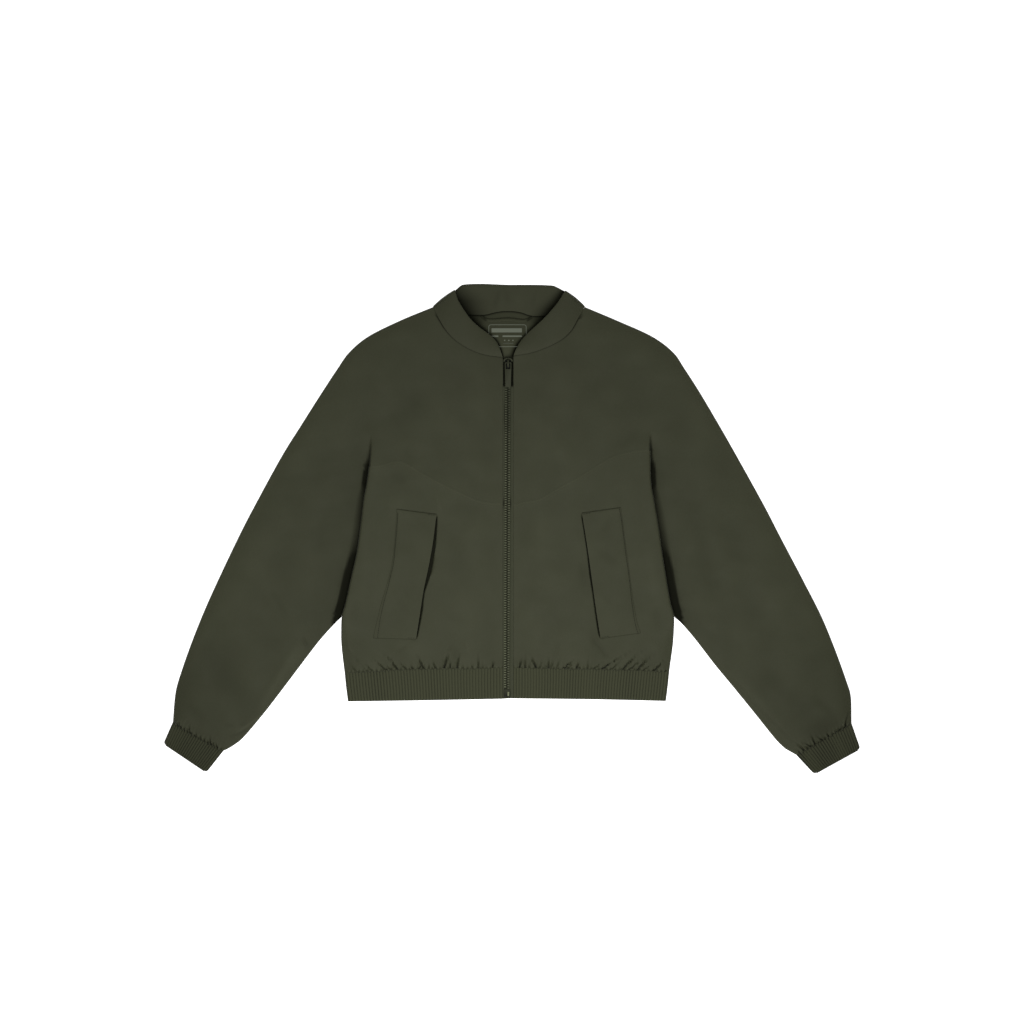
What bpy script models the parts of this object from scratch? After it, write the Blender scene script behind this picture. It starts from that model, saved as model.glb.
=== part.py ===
"""A cropped bomber jacket with dolman sleeves, zipped up and laid flat on its back.

Lengths are in millimetres until mesh_object() turns them into metres. "out" is the distance from
the zip's centre line towards either sleeve, "up" runs from the hem towards the collar, and z is
the height above the surface that the jacket lies on. The origin is on that surface, under the zip.
The left side is the one at -X. Each cloth piece is a closed wall: an outer face, an inner face and
the edges between them. Where the outline is a fold, the wall rolls over it.
"""

from collections import namedtuple
import math

import bmesh
import bpy
from mathutils import Vector
from mathutils.geometry import delaunay_2d_cdt
import numpy as np

SIDES = {"left": -1, "right": 1}
FACES = ("outer", "inner")

# Walls and the gap kept between neighbouring pieces
CLOTH = 1.5
COLLAR_CLOTH = 2.0
RIB_CLOTH = 1.6
GAP = 0.3

# Heights of a front's inner face above the surface
EDGE_LEVEL = CLOTH + GAP  # where a front lies flat on the back
LOFT = 2.4  # how much higher its middle lies
LOFT_REACH = 25.0  # distance from the edge over which it rises
TUCK_INSIDE = 0.5  # free space inside the fold at the side of the body
RIDGE_LEVEL = EDGE_LEVEL + 2 * CLOTH + GAP + TUCK_INSIDE

# Folded edges
ROLL = 3.2  # width of the roll at an outline fold
FOOT = 0.3  # lowest point of a rolled edge
FOLD_STEPS = 3  # faces round a rolled edge
BACK_INSET = 2.5  # the back ends this far inside the outline, within the front's roll
BACK_CORNER = (-2.5, 6.5)  # its corner at the underarm, out and up from the underarm point
BACK_CLEAR = 3.0  # its side stops this far below there
UNDERARM_CORNER = (2.2, 2.6)  # the upper front's corner, out and up from the underarm point

# The tuck at each side of the body: the body's cloth lies over the sleeve as far as the underarm
TUCK_TOP = 142.0  # where the tuck starts, in the upper front
TUCK_STEP = 4.0  # width of its step in the upper front
TUCK_HIDDEN = 11.0  # depth of the cloth folded under the body
TUCK_FLAT = TUCK_HIDDEN + ROLL + 2.0  # width over which the body lies level on the tuck
TUCK_SPREAD = 30.0  # how far the body then takes to come down
CREASE_SPREAD = 22.0  # how far the sleeve takes to come up beside the tuck
TUCK_UNDER = 0.8  # how far below the seam the upper front's edge ends, under the tuck
TUCK_END = -131.0  # the tuck is whole above this
VALLEY_CLEAR = 10.0  # the upper front's edge under the tuck ends this far above there
VALLEY_START = 3.0  # its sewn run starts this far from the fold's bottom
SIDE_START = -146.0  # the side is a plain fold down to the surface below this
SIDE_LEVEL = -165.0  # the body is back at its usual height below this
SIDE_TAIL = 0.5  # what is left of the folded cloth there

# Zip: half widths, places up, and heights
ZIP_EDGE = 7.8  # half the gap between the fronts' edges
ZIP_TOP = 247.0
ZIP_BOTTOM = -244.0
TAPE_WALL = 1.0
TAPE_LOW = CLOTH + 0.4
TAPE_NEAR = 0.4
TAPE_OUT = 14.0
CHAIN_HALF = 3.0
CHAIN_TOP = 229.0
CHAIN_LOW = TAPE_LOW + TAPE_WALL + GAP
CHAIN_HIGH = CHAIN_LOW + 1.7
BOX_HALF = 4.6
BOX_FOOT = ZIP_BOTTOM + 0.5
BOX_TOP = ZIP_BOTTOM + 12
BOX_HIGH = CHAIN_HIGH + 0.9
CHAIN_FOOT = BOX_TOP + 1.0
SLIDER = ((3.4, 230.5), (4.4, 234), (5.3, 240), (5.2, 244), (3.2, 246.5))  # half width, up
SLIDER_HIGH = 6.3
BRIDGE = (  # up, height
    (235.5, SLIDER_HIGH - 0.3), (236.5, 9.6), (238.5, 11.0),
    (242.5, 11.0), (244.5, 9.6), (245.5, SLIDER_HIGH - 0.3),
)
BRIDGE_HALF = 1.1
BRIDGE_WALL = 1.2
PULL_UP = 240.5  # the pull's hinge
PULL_HIGH = 8.6
PULL_OUTLINE = ((3.9, -35.2), (4.9, -34), (4.9, -11), (4.6, -9), (4.6, 1))  # half width, up from the hinge
PULL_HOLE = (2.7, -7.8, -0.9)  # half width, low, high
PULL_WIRE = 0.85  # half the pull's thickness
PULL_TILT = math.radians(3.6)  # the tab's tip rests on the chain

# Mesh spacing
OUTLINE_STEP = 15.0
OUTER_STEP = 18.0
INNER_STEP = 28.0
GATHER_STEP = 3.0
EDGE_STEP = 20.0  # along the fronts' edges at the zip
WELT_STEP = 14.0
BACK_STEP = 9.0
MERGE_CLEAR = 8.0  # the lattice keeps this far from rows of closer points
HEM_MERGE_CLEAR = 7.0
HEM_POINTS = 74
VALLEY_POINTS = 22
STEP_OFFSETS = (-0.6, 1.4, 2.8, 4.6)  # rows of points across the tuck's step, out from the ridge
STEP_ROWS = (5.0, 4.0, 6.0)  # their ends, above the yoke seam and below the tuck's top, and spacing
CREASE_OFFSETS = (-3.0, 5.0, 16.0)  # rows of points beside the tuck, out from the ridge
CREASE_ROWS = (8.0, 4.0, 14.0)  # their ends, above the underarm and below the yoke seam, and spacing
TUCK_CLEAR = 1.0  # how far inside an outline such rows stay
CUFF_CLEAR = 2.0
HEM_CLEAR = 1.8
NECK_CLEAR = 3.0  # the neck seam's points stop this far below the shoulder's roll
LATTICE_START = (0.2, 0.5)  # where a lattice row starts, in steps, and how far every second one shifts
SIDE_POINTS = (7, 4, VALLEY_POINTS)  # points up the side: below the tuck, where it starts, and along it
BACK_HEM_POINTS = 18
BACK_UNDER_POINTS = 9  # across the hem band's back
CUFF_UNDER_POINTS = 6
HEIGHT_SHARE = 0.3  # how much a step in height counts along a band's row

# Outline rows: how far up, then how far out on each side
At = namedtuple("At", "up left right")
OVERARM = (
    At(322, 108.5, 111),  # neck point
    At(302, 157, 158.5),
    At(279, 203, 209),
    At(256, 230.5, 239.5),  # shoulder
    At(233, 247, 255.5),
    At(198, 270, 278),
    At(151.5, 299.5, 305.5),
    At(105, 328.5, 332),
    At(35.5, 366.5, 370.5),
    At(-11, 390.5, 394.5),  # elbow
    At(-80.5, 423.5, 431),
    At(-127, 444, 454.5),
    At(-173, 462, 473.5),
    At(-220, 478, 490.5),
    At(-243, 483, 497),
    At(-280, 486, 498),  # cuff seam
)
UNDERARM = (
    At(-127, 241, 240.5),  # underarm point
    At(-138.5, 252.5, 253),
    At(-162, 273.5, 273),
    At(-196.5, 300, 299.5),
    At(-231, 326, 328),
    At(-266, 353, 356.5),
    At(-301, 382.5, 384.5),
    At(-313, 397, 395.5),
    At(-322, 412, 406),  # cuff seam
)
RIDGE = (
    At(142, 198.5, 207),  # top of the tuck
    At(100, 201, 206.5),
    At(67, 205, 207.5),
    At(43, 209.5, 211.5),
    At(5, 214, 218),
    At(-34, 219.5, 223.5),
    At(-72, 228, 229.5),
    At(-106, 235.5, 235.5),
    At(-127, 241, 240.5),  # underarm point
    At(-162, 242, 239.5),
    At(-197, 238.5, 235),
    At(-208, 237, 233.5),  # hem seam
)

# Seam rows: how far out, then how far up on each side
Seam = namedtuple("Seam", "out left right")
YOKE = (
    Seam(7.8, 36, 34),
    Seam(25, 36.5, 38.5),
    Seam(45, 40.5, 42),
    Seam(75, 54, 59),
    Seam(105, 69, 75.5),
    Seam(130, 83, 91),
    Seam(150, 95.5, 102.5),
    Seam(165, 96.5, 108),
    Seam(185, 91, 112),
    Seam(206, 89, 114),
)
NECK = (
    Seam(7.8, 249, 251),
    Seam(33, 252.5, 255.5),
    Seam(50, 258, 261),
    Seam(66, 266.5, 268),
    Seam(80, 277, 276.5),
    Seam(92, 291, 288.5),
    Seam(101, 306, 304.5),
)
COLLAR_EDGE = (
    Seam(12, 262, 262),
    Seam(17, 272, 271),
    Seam(27, 282, 282.5),
    Seam(40, 291.5, 294.5),
    Seam(51, 301, 304.5),
    Seam(60, 312, 314),
    Seam(72, 331, 328.5),
)
BACK_NECK = (Seam(0, 316, 316), Seam(38, 309.5, 308.5), Seam(75, 313, 312), Seam(109, 322, 321))
COLLAR_FOLD = {"left": (77, 346), "right": (82.5, 345)}  # out and up, where its top edge folds
COLLAR_BACK = (Seam(0, 354, 354), Seam(40, 355.5, 354), Seam(64, 354.5, 353), Seam(70, 352, 351))
COLLAR_EDGE_LEVEL = 5.6  # height of the free edge beside the zip
COLLAR_EDGE_RISE = 4.0  # how much higher the free edge stands at the side fold
COLLAR_RISE_FROM = 0.15  # share of the front at which it starts to rise, and over which it does
COLLAR_RISE_OVER = 0.6
COLLAR_CROWN = 0.7  # how much the band swells between seam and edge
COLLAR_ROWS = (0.0, 0.25, 0.5, 0.75, 1.0)  # places from the seam to the free edge
COLLAR_FRONT_STEPS = 16
COLLAR_TURN_STEPS = 6
COLLAR_BACK_STEPS = 8
HEM = (Seam(0, -201, -201), Seam(127, -202.5, -202.5), Seam(200, -205.5, -205), Seam(236, -208, -207))
HEM_EDGE = (Seam(0, -246, -245.5), Seam(127, -248.5, -247), Seam(236, -250, -249.5))

# Gathers: where each crease meets the seam, how far up it reaches, and its lean away from straight up
Gather = namedtuple("Gather", "out reach lean")
HEM_GATHERS = {
    "left": (
        Gather(23, 10, 0.0), Gather(44, 18, 0.1), Gather(53, 16, 0.1), Gather(68, 24, 0.0),
        Gather(75, 14, -0.2), Gather(85, 24, 0.1), Gather(94, 20, 0.2), Gather(107, 22, 0.0),
        Gather(114, 14, 0.3), Gather(124, 20, 0.4), Gather(130, 12, 0.5), Gather(139, 18, 0.5),
        Gather(147, 12, 0.6), Gather(160, 16, 0.6), Gather(171, 18, 0.6), Gather(179, 12, 0.7),
        Gather(201, 20, 0.8), Gather(221, 20, 0.6),
    ),
    "right": (
        Gather(17, 16, 0.0), Gather(25, 18, 0.1), Gather(40, 20, 0.0), Gather(57, 16, 0.2),
        Gather(63, 22, 0.2), Gather(72, 14, 0.1), Gather(83, 18, 0.1), Gather(99, 18, 0.3),
        Gather(108, 14, 0.3), Gather(117, 16, 0.5), Gather(135, 26, 0.6), Gather(147, 24, 0.6),
        Gather(164, 20, 0.7), Gather(173, 26, 0.7), Gather(186, 20, 0.8), Gather(193, 16, 0.8),
        Gather(208, 22, 0.8), Gather(218, 20, 0.7),
    ),
}
GATHER_RISE = 1.2  # height of the cloth between two creases
GATHER_REACH = 14.0  # distance from the hem over which that height fades
GATHER_DEPTH = 1.6  # depth of a crease below that
GATHER_FLOOR = -0.4  # no crease goes deeper than this into the plain cloth
GATHER_WIDTH = 2.6
GATHER_ROWS = ((4, 3.5), (9, 5.0), (15, 7.0), (24, 10.0))  # distance from the seam, spacing

# Cuffs: corners as (out, up), from the seam's outer end round to the wrist's outer end
Cuff = namedtuple("Cuff", "seam_out seam_in wrist_in wrist_out bow")
CUFFS = {
    "left": Cuff((486, -280), (412.5, -321.5), (437.5, -353.5), (500, -311.5), 4.0),
    "right": Cuff((498, -282), (417.5, -327.5), (444, -356), (511, -319), 2.0),
}
CUFF_RIBS = 21
CUFF_GATHERS = (0.1, 0.2, 0.33, 0.45, 0.57, 0.68, 0.8, 0.9)  # places along the seam
CUFF_REACH = 13.0  # how far up its creases reach
CUFF_RISE_REACH = 10.0

# Ribbed bands
RIB_RISE = 0.7
RIB_PROFILE = ((0.0, 0.0), (0.28, 1.0), (0.72, 1.0))  # share of the pitch, share of the rise
HEM_RIBS = {"left": 52, "right": 54}
HEM_HEIGHT = 2 * RIB_CLOTH + 1.6  # the band's two layers and the free space between them
HEM_TAPER = 3.5  # how much less far out the band's lower edge is than its seam
HEM_PLAIN = 8  # faces across each half of its inner face
CUFF_HEIGHT = 2 * RIB_CLOTH + 0.8
CUFF_PLAIN = 5
BAND_TURNS = 6  # faces round a band's fold

# Welts: points of the stitched edge and of the edge at the pocket's opening, as out and up
Welt = namedtuple("Welt", "sewn_out sewn_up open_out open_up")
WELTS = {
    "left": (
        Welt(161, 28.5, 104, 20.5),
        Welt(164, -15, 108.5, -20),
        Welt(169.5, -63, 115, -63),
        Welt(180, -110, 124, -110),
        Welt(190, -159, 132, -160),
    ),
    "right": (
        Welt(163.5, 31.5, 107.5, 22.5),
        Welt(169, -18, 113, -24),
        Welt(175.5, -70, 120.5, -70),
        Welt(179.5, -111, 127.5, -114),
        Welt(187.5, -151.5, 134, -159.5),
    ),
}
WELT_CLOTH = 1.3
WELT_LIFT = 0.9  # how far the opening's edge stands off the front
WELT_LIFT_REACH = 9.0

# Hanger loop: points of its middle line, as out (here from -X to +X) and up
LOOP_PATH = ((-39, 308.5), (-33, 304), (-24, 302), (0, 303.5), (21, 301.5), (28, 303), (34, 306.5))
LOOP_WIDE = 4.0
LOOP_WALL = 1.0

SHELL = (0.048, 0.054, 0.031)
SHELL_DARK = (0.040, 0.045, 0.027)
ZIP_COLOUR = (0.030, 0.033, 0.020)
METAL = (0.050, 0.052, 0.038)


# --- Curves and heights ---------------------------------------------------------------------


def smooth(value):
    value = np.clip(value, 0.0, 1.0)
    return value * value * (3 - 2 * value)


def curve(points, step):
    """Points about `step` apart on a smooth curve through the given ones."""
    p = np.array(points, float)
    p = np.vstack([2 * p[0] - p[1], p, 2 * p[-1] - p[-2]])
    fine = []
    for a, b, c, d in zip(p, p[1:], p[2:], p[3:]):
        bend, twist = 2 * a - 5 * b + 4 * c - d, 3 * b - a - 3 * c + d
        fine += [0.5 * (2 * b + (c - a) * t + bend * t**2 + twist * t**3) for t in np.arange(0, 1, 0.05)]
    fine = np.vstack([fine, p[-2]])
    return spaced(fine, step)


def spaced(line, step):
    """The line cut again into equal lengths of about `step`."""
    length = np.linalg.norm(np.diff(np.array(line, float), axis=0), axis=1).sum()
    return divided(line, max(1, round(length / step)))


def divided(line, count):
    """The line cut again into `count` equal lengths."""
    line = np.array(line, float)
    along = np.concatenate([[0], np.cumsum(np.linalg.norm(np.diff(line, axis=0), axis=1))])
    at = np.linspace(0, along[-1], count + 1)
    return np.column_stack([np.interp(at, along, line[:, k]) for k in range(line.shape[1])])


def out_line(table, side, step=OUTLINE_STEP):
    """The curve of a table of At rows, as (out, up)."""
    return curve([(getattr(row, side), row.up) for row in table], step)


def seam_line(table, side, step=OUTLINE_STEP):
    """The curve of a table of Seam rows, as (out, up)."""
    return curve([(row.out, getattr(row, side)) for row in table], step)


def inset(line, distance):
    """The line moved to its left, looking along it."""
    along = np.gradient(line, axis=0)
    along /= np.linalg.norm(along, axis=1)[:, None]
    return line + distance * np.column_stack([-along[:, 1], along[:, 0]])


def distance_to(points, line):
    """Each point's distance to a line of short straight runs."""
    a, b = line[:-1], line[1:]
    run = b - a
    away = points[:, None] - a[None]
    share = np.clip((away * run).sum(2) / (run * run).sum(1), 0, 1)
    return np.linalg.norm(away - share[..., None] * run, axis=2).min(axis=1)


class Side:
    """The lines of one side of the jacket and the heights that follow from them."""

    def __init__(self, name):
        self.name = name
        self.overarm = out_line(OVERARM, name)
        self.underarm = out_line(UNDERARM, name)
        self.ridge = out_line(RIDGE, name, 6.0)
        self.yoke = seam_line(YOKE, name)
        self.neck = seam_line(NECK, name, 8.0)
        cuff = CUFFS[name]
        self.neck_point = np.array([getattr(OVERARM[0], name), OVERARM[0].up], float)
        self.overarm[-1] = cuff.seam_out
        self.underarm[-1] = cuff.seam_in
        below = self.ridge[self.ridge[:, 1] <= UNDERARM[0].up]
        self.edges = (self.overarm, self.underarm, below)
        self.seam_end_out = self.ridge_out(self.yoke[-1, 1]) - ROLL
        self.yoke = spaced(self.yoke[self.yoke[:, 0] < self.seam_end_out], OUTLINE_STEP)
        self.seam_end_up = self.yoke[-1, 1]
        self.yoke = np.vstack([self.yoke[:-1], [self.seam_end_out, self.seam_end_up]])
        self.hem = seam_line(HEM, name)
        self.hem_edge = seam_line(HEM_EDGE, name)
        self.hem_end = float(self.ridge_out(getattr(HEM[-1], name)))

    def ridge_out(self, up):
        return np.interp(-np.asarray(up, float), -self.ridge[:, 1], self.ridge[:, 0])

    def yoke_up(self, out):
        return np.interp(out, self.yoke[:, 0], self.yoke[:, 1])

    def hem_up(self, out):
        return np.interp(out, self.hem[:, 0], self.hem[:, 1])

    def hem_edge_up(self, out):
        return np.interp(out, self.hem_edge[:, 0], self.hem_edge[:, 1])

    def hidden(self, up):
        """Depth of the cloth folded under the body at this height."""
        return 1.0 + (TUCK_HIDDEN - 1.0) * smooth((up - TUCK_END) / 36)

    def tuck_share(self, up):
        """0 where there is no tuck, 1 where it is whole."""
        top = smooth((TUCK_TOP - up) / (TUCK_TOP - self.seam_end_up))
        return top * smooth((up - SIDE_LEVEL) / (TUCK_END - SIDE_LEVEL))

    def loft(self, points):
        edge = np.min([distance_to(points, line) for line in self.edges], axis=0)
        return EDGE_LEVEL + LOFT * (1 - np.exp(-edge / LOFT_REACH))

    def body_level(self, points):
        """Height of the inner face on the body's side of the tuck."""
        loft = self.loft(points)
        inside = self.ridge_out(points[:, 1]) - points[:, 0]
        near = np.exp(-np.maximum(inside - TUCK_FLAT, 0) / TUCK_SPREAD)
        return loft + self.tuck_share(points[:, 1]) * near * (RIDGE_LEVEL - loft)

    def sleeve_level(self, points):
        """Height of the inner face on the sleeve's side of the tuck."""
        loft = self.loft(points)
        beyond = np.maximum(points[:, 0] - self.ridge_out(points[:, 1]), 0)
        share = smooth((TUCK_TOP - points[:, 1]) / (TUCK_TOP - self.seam_end_up))
        return loft + share * np.exp(-beyond / CREASE_SPREAD) * (EDGE_LEVEL - loft)

    def upper_level(self, points):
        """The upper front: the body's height, a step at the tuck, and then the sleeve's."""
        beyond = points[:, 0] - self.ridge_out(points[:, 1])
        step = smooth(beyond / TUCK_STEP)
        step[points[:, 1] < self.yoke_up(points[:, 0])] = 1.0
        return (1 - step) * self.body_level(points) + step * self.sleeve_level(points)


def crease(offset):
    return np.exp(-((offset / GATHER_WIDTH) ** 2))


def hem_relief(side, points):
    """Height that the gathers above the hem add to the outer face."""
    rise = points[:, 1] - side.hem_up(points[:, 0])
    total = GATHER_RISE * np.exp(-((rise / GATHER_REACH) ** 2))
    for row in HEM_GATHERS[side.name]:
        fade = np.exp(-((rise / row.reach) ** 2))
        total = total - GATHER_DEPTH * fade * crease(points[:, 0] - row.out - row.lean * rise)
    return np.maximum(total, GATHER_FLOOR)


def cuff_axes(side):
    """The cuff seam's outer end, its direction inwards, its length, and the way up the sleeve."""
    cuff = CUFFS[side.name]
    start, end = np.array(cuff.seam_out, float), np.array(cuff.seam_in, float)
    length = np.linalg.norm(end - start)
    across = (end - start) / length
    return start, across, length, np.array([across[1], -across[0]])


def cuff_seam(side, step=GATHER_STEP):
    """The cuff seam from its outer to its inner end, bowed a little towards the wrist."""
    start, across, length, up = cuff_axes(side)
    at = np.linspace(0, length, round(length / step) + 1)
    bow = CUFFS[side.name].bow * np.sin(math.pi * at / length)
    return start + at[:, None] * across - bow[:, None] * up


def cuff_relief(side, points):
    """Height that the gathers above the cuff add to the outer face."""
    start, across, length, up = cuff_axes(side)
    along, rise = (points - start) @ across, (points - start) @ up
    rise = rise + CUFFS[side.name].bow * np.sin(math.pi * np.clip(along / length, 0, 1))
    rise = np.maximum(rise, 0)
    total = GATHER_RISE * np.exp(-((rise / CUFF_RISE_REACH) ** 2))
    for place in CUFF_GATHERS:
        fade = np.exp(-((rise / CUFF_REACH) ** 2))
        total = total - GATHER_DEPTH * fade * crease(along - place * length)
    return np.maximum(total, GATHER_FLOOR)


# --- Meshes ---------------------------------------------------------------------------------


def material(name, colour, roughness, metallic=0.0):
    made = bpy.data.materials.new(name)
    made.use_nodes = True
    shader = made.node_tree.nodes["Principled BSDF"]
    shader.inputs["Base Color"].default_value = (*colour, 1.0)
    shader.inputs["Roughness"].default_value = roughness
    shader.inputs["Metallic"].default_value = metallic
    return made


def mesh_object(name, points, faces, colour, roughness=0.85, metallic=0.0, parent=None):
    """One closed solid, from points in millimetres."""
    mesh = bpy.data.meshes.new(name)
    mesh.from_pydata([tuple(np.array(p) / 1000) for p in points], [], [list(map(int, f)) for f in faces])
    build = bmesh.new()
    build.from_mesh(mesh)
    bmesh.ops.recalc_face_normals(build, faces=build.faces)
    if build.calc_volume(signed=True) < 0:
        bmesh.ops.reverse_faces(build, faces=build.faces)
    build.to_mesh(mesh)
    build.free()
    mesh.shade_smooth()
    mesh.set_sharp_from_angle(angle=math.radians(50))
    mesh.materials.append(material(name, colour, roughness, metallic))
    made = bpy.data.objects.new(name, mesh)
    made.parent = parent
    bpy.context.scene.collection.objects.link(made)
    return made


def inside(points, outline):
    """Which points lie within a closed outline."""
    x, y = points[:, :1], points[:, 1:]
    a, b = outline, np.roll(outline, -1, axis=0)
    crosses = (a[:, 1] > y) != (b[:, 1] > y)
    with np.errstate(divide="ignore", invalid="ignore"):
        at = a[:, 0] + (y - a[:, 1]) * (b[:, 0] - a[:, 0]) / (b[:, 1] - a[:, 1])
    return (crosses & (x < at)).sum(axis=1) % 2 == 1


def lattice(outline, step, clear=0.5):
    """Points `step` apart in a triangular pattern inside the outline, clear of its edge."""
    low, high = outline.min(axis=0), outline.max(axis=0)
    points = []
    start, shift = LATTICE_START
    for k, y in enumerate(np.arange(low[1] + step / 3, high[1], step * math.sqrt(0.75))):
        first = low[0] + step * (start + shift * (k % 2))
        points += [(x, y) for x in np.arange(first, high[0], step)]
    return keep_clear(np.array(points), outline, step * clear)


def keep_clear(points, outline, clear):
    points = points[inside(points, outline)]
    return points[distance_to(points, np.vstack([outline, outline[:1]])) > clear]


def merge_sets(sets, clear):
    """Joins sets of points; the last set's points that lie too near the others are dropped."""
    kept = np.vstack(sets[:-1])
    near = np.linalg.norm(sets[-1][:, None] - kept[None], axis=2).min(axis=1)
    return np.vstack([kept, sets[-1][near > clear]])


def triangles(outline, points):
    """Triangles over the outline's points followed by the given ones."""
    every = np.vstack([outline, points])
    corners = [Vector(p) for p in every.tolist()]
    _, _, faces, origin, _, _ = delaunay_2d_cdt(corners, [], [list(range(len(outline)))], 1, 1e-6)
    return [[origin[k][0] for k in face] for face in faces]


class Wall:
    """A closed cloth wall over a flat outline, with rolled edges where it is folded."""

    def __init__(self, outline, level, wall, relief=None, outer_points=None, inner_points=None):
        self.outline = np.array(outline, float)
        outer_points = lattice(self.outline, OUTER_STEP) if outer_points is None else outer_points
        inner_points = lattice(self.outline, INNER_STEP) if inner_points is None else inner_points
        n, m = len(self.outline), len(outer_points)
        outer = np.vstack([self.outline, outer_points])
        inner = np.vstack([self.outline, inner_points])
        self.low = level(inner)
        self.high = level(outer) + wall + (relief(outer) if relief else 0.0)
        self.points = [(*p, z) for p, z in zip(outer, self.high)]
        self.points += [(*p, z) for p, z in zip(inner, self.low)]
        self.faces = [tuple(f) for f in triangles(self.outline, outer_points)]
        self.first_inner = n + m
        self.faces += [tuple(k + n + m for k in f) for f in triangles(self.outline, inner_points)]
        self.count = n
        self.rolled = set()

    def roll(self, first, last, section):
        """Rolls the outline's points first..last: section(k) gives the outer and the inner points."""
        columns = []
        for k in range(first, last + 1):
            outer, inner = section(k)
            column = []
            for start, points in ((k, outer), (self.first_inner + k, inner)):
                column.append([start] + list(range(len(self.points), len(self.points) + len(points))))
                self.points += [tuple(p) for p in points]
            columns.append(column)
        for (outer_a, inner_a), (outer_b, inner_b) in zip(columns, columns[1:]):
            self.faces += strip(outer_a, outer_b) + strip(inner_a, inner_b)
            self.faces.append((outer_a[-1], outer_b[-1], inner_b[-1], inner_a[-1]))
        for outer, inner in (columns[0], columns[-1]):
            self.faces += strip(outer, inner)
        self.rolled |= set(range(first, last))

    def finish(self, name, side, colour, **finish):
        """Closes the cut edges and makes the object; side -1 mirrors it to the left."""
        for k in range(self.count):
            if k not in self.rolled:
                j = (k + 1) % self.count
                self.faces.append((k, j, self.first_inner + j, self.first_inner + k))
        points = [(side * x, y, z) for x, y, z in self.points]
        return mesh_object(name, points, self.faces, colour, **finish)


def strip(a, b):
    """Faces between two equally long rows of points."""
    return [(a[k], a[k + 1], b[k + 1], b[k]) for k in range(len(a) - 1)]


def fold_section(wall, silhouette):
    """The section of a plain folded edge, which rolls down to the surface."""

    def section(k):
        at = wall.outline[k]
        high, low = wall.high[k], wall.low[k]
        reach = silhouette[k] - at
        ways = []
        for z, share in ((high, 1.0), (low, 1 - CLOTH / ROLL)):
            points = []
            for step in range(1, FOLD_STEPS + 1):
                turn = math.pi / 2 * step / FOLD_STEPS
                x, y = at + reach * share * math.sin(turn)
                points.append((x, y, FOOT + (z - FOOT) * math.cos(turn)))
            ways.append(points)
        return ways

    return section


def side_section(wall, side):
    """The section at the side of the body: a roll to the surface, or a tuck folded under it."""

    def section(k):
        out, up = wall.outline[k]
        high, low = wall.high[k], wall.low[k]
        share = float(smooth((up - SIDE_START) / (TUCK_END - SIDE_START)))
        foot = (1 - share) * FOOT + share * (EDGE_LEVEL + CLOTH + GAP)
        turn = math.pi / 2 * (1 + share * share)
        tail = (1 - share) * SIDE_TAIL + share * float(side.hidden(up))
        drop = (1 - share) * tail
        middle = (foot + drop - high * math.cos(turn)) / (1 - math.cos(turn))
        ways = []
        for radius, rise in ((ROLL, high - middle), (ROLL - CLOTH, low - middle)):
            points = []
            for step in range(1, FOLD_STEPS + 1):
                at = turn * step / FOLD_STEPS
                points.append((out + radius * math.sin(at), up, middle + rise * math.cos(at)))
            end = points[-1]
            points.append((end[0] + tail * math.cos(turn), up, end[2] - drop * math.sin(turn)))
            ways.append(points)
        return ways

    return section


def stitch(a, a_at, b, b_at):
    """Triangles between two rows of points, each with its places along the way."""
    faces, i, j = [], 0, 0
    while i < len(a) - 1 or j < len(b) - 1:
        if j == len(b) - 1 or (i < len(a) - 1 and a_at[i + 1] <= b_at[j + 1]):
            faces.append((a[i], a[i + 1], b[j]))
            i += 1
        else:
            faces.append((a[i], b[j + 1], b[j]))
            j += 1
    return faces


def band(name, rings, places, closed, colour):
    """A closed wall from rows of outer and of inner points, which may differ in length."""
    points, rows = [], []
    for face in FACES:
        kept = []
        for row in rings[face]:
            kept.append(list(range(len(points), len(points) + len(row))))
            points += [tuple(p) for p in row]
            if closed:
                kept[-1].append(kept[-1][0])
        rows.append(kept)
    faces = []
    for kept in rows:
        for a, b in zip(kept, kept[1:]):
            faces += strip(a, b)
    outer_at, inner_at = [list(at) + [1.0] * closed for at in places]
    for end in (0, -1):
        faces += stitch(rows[0][end], outer_at, rows[1][end], inner_at)
        if not closed:
            faces += strip([row[end] for row in rows[0]], [row[end] for row in rows[1]])
    return mesh_object(name, points, faces, colour)


# --- Cloth pieces -----------------------------------------------------------------------------


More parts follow.
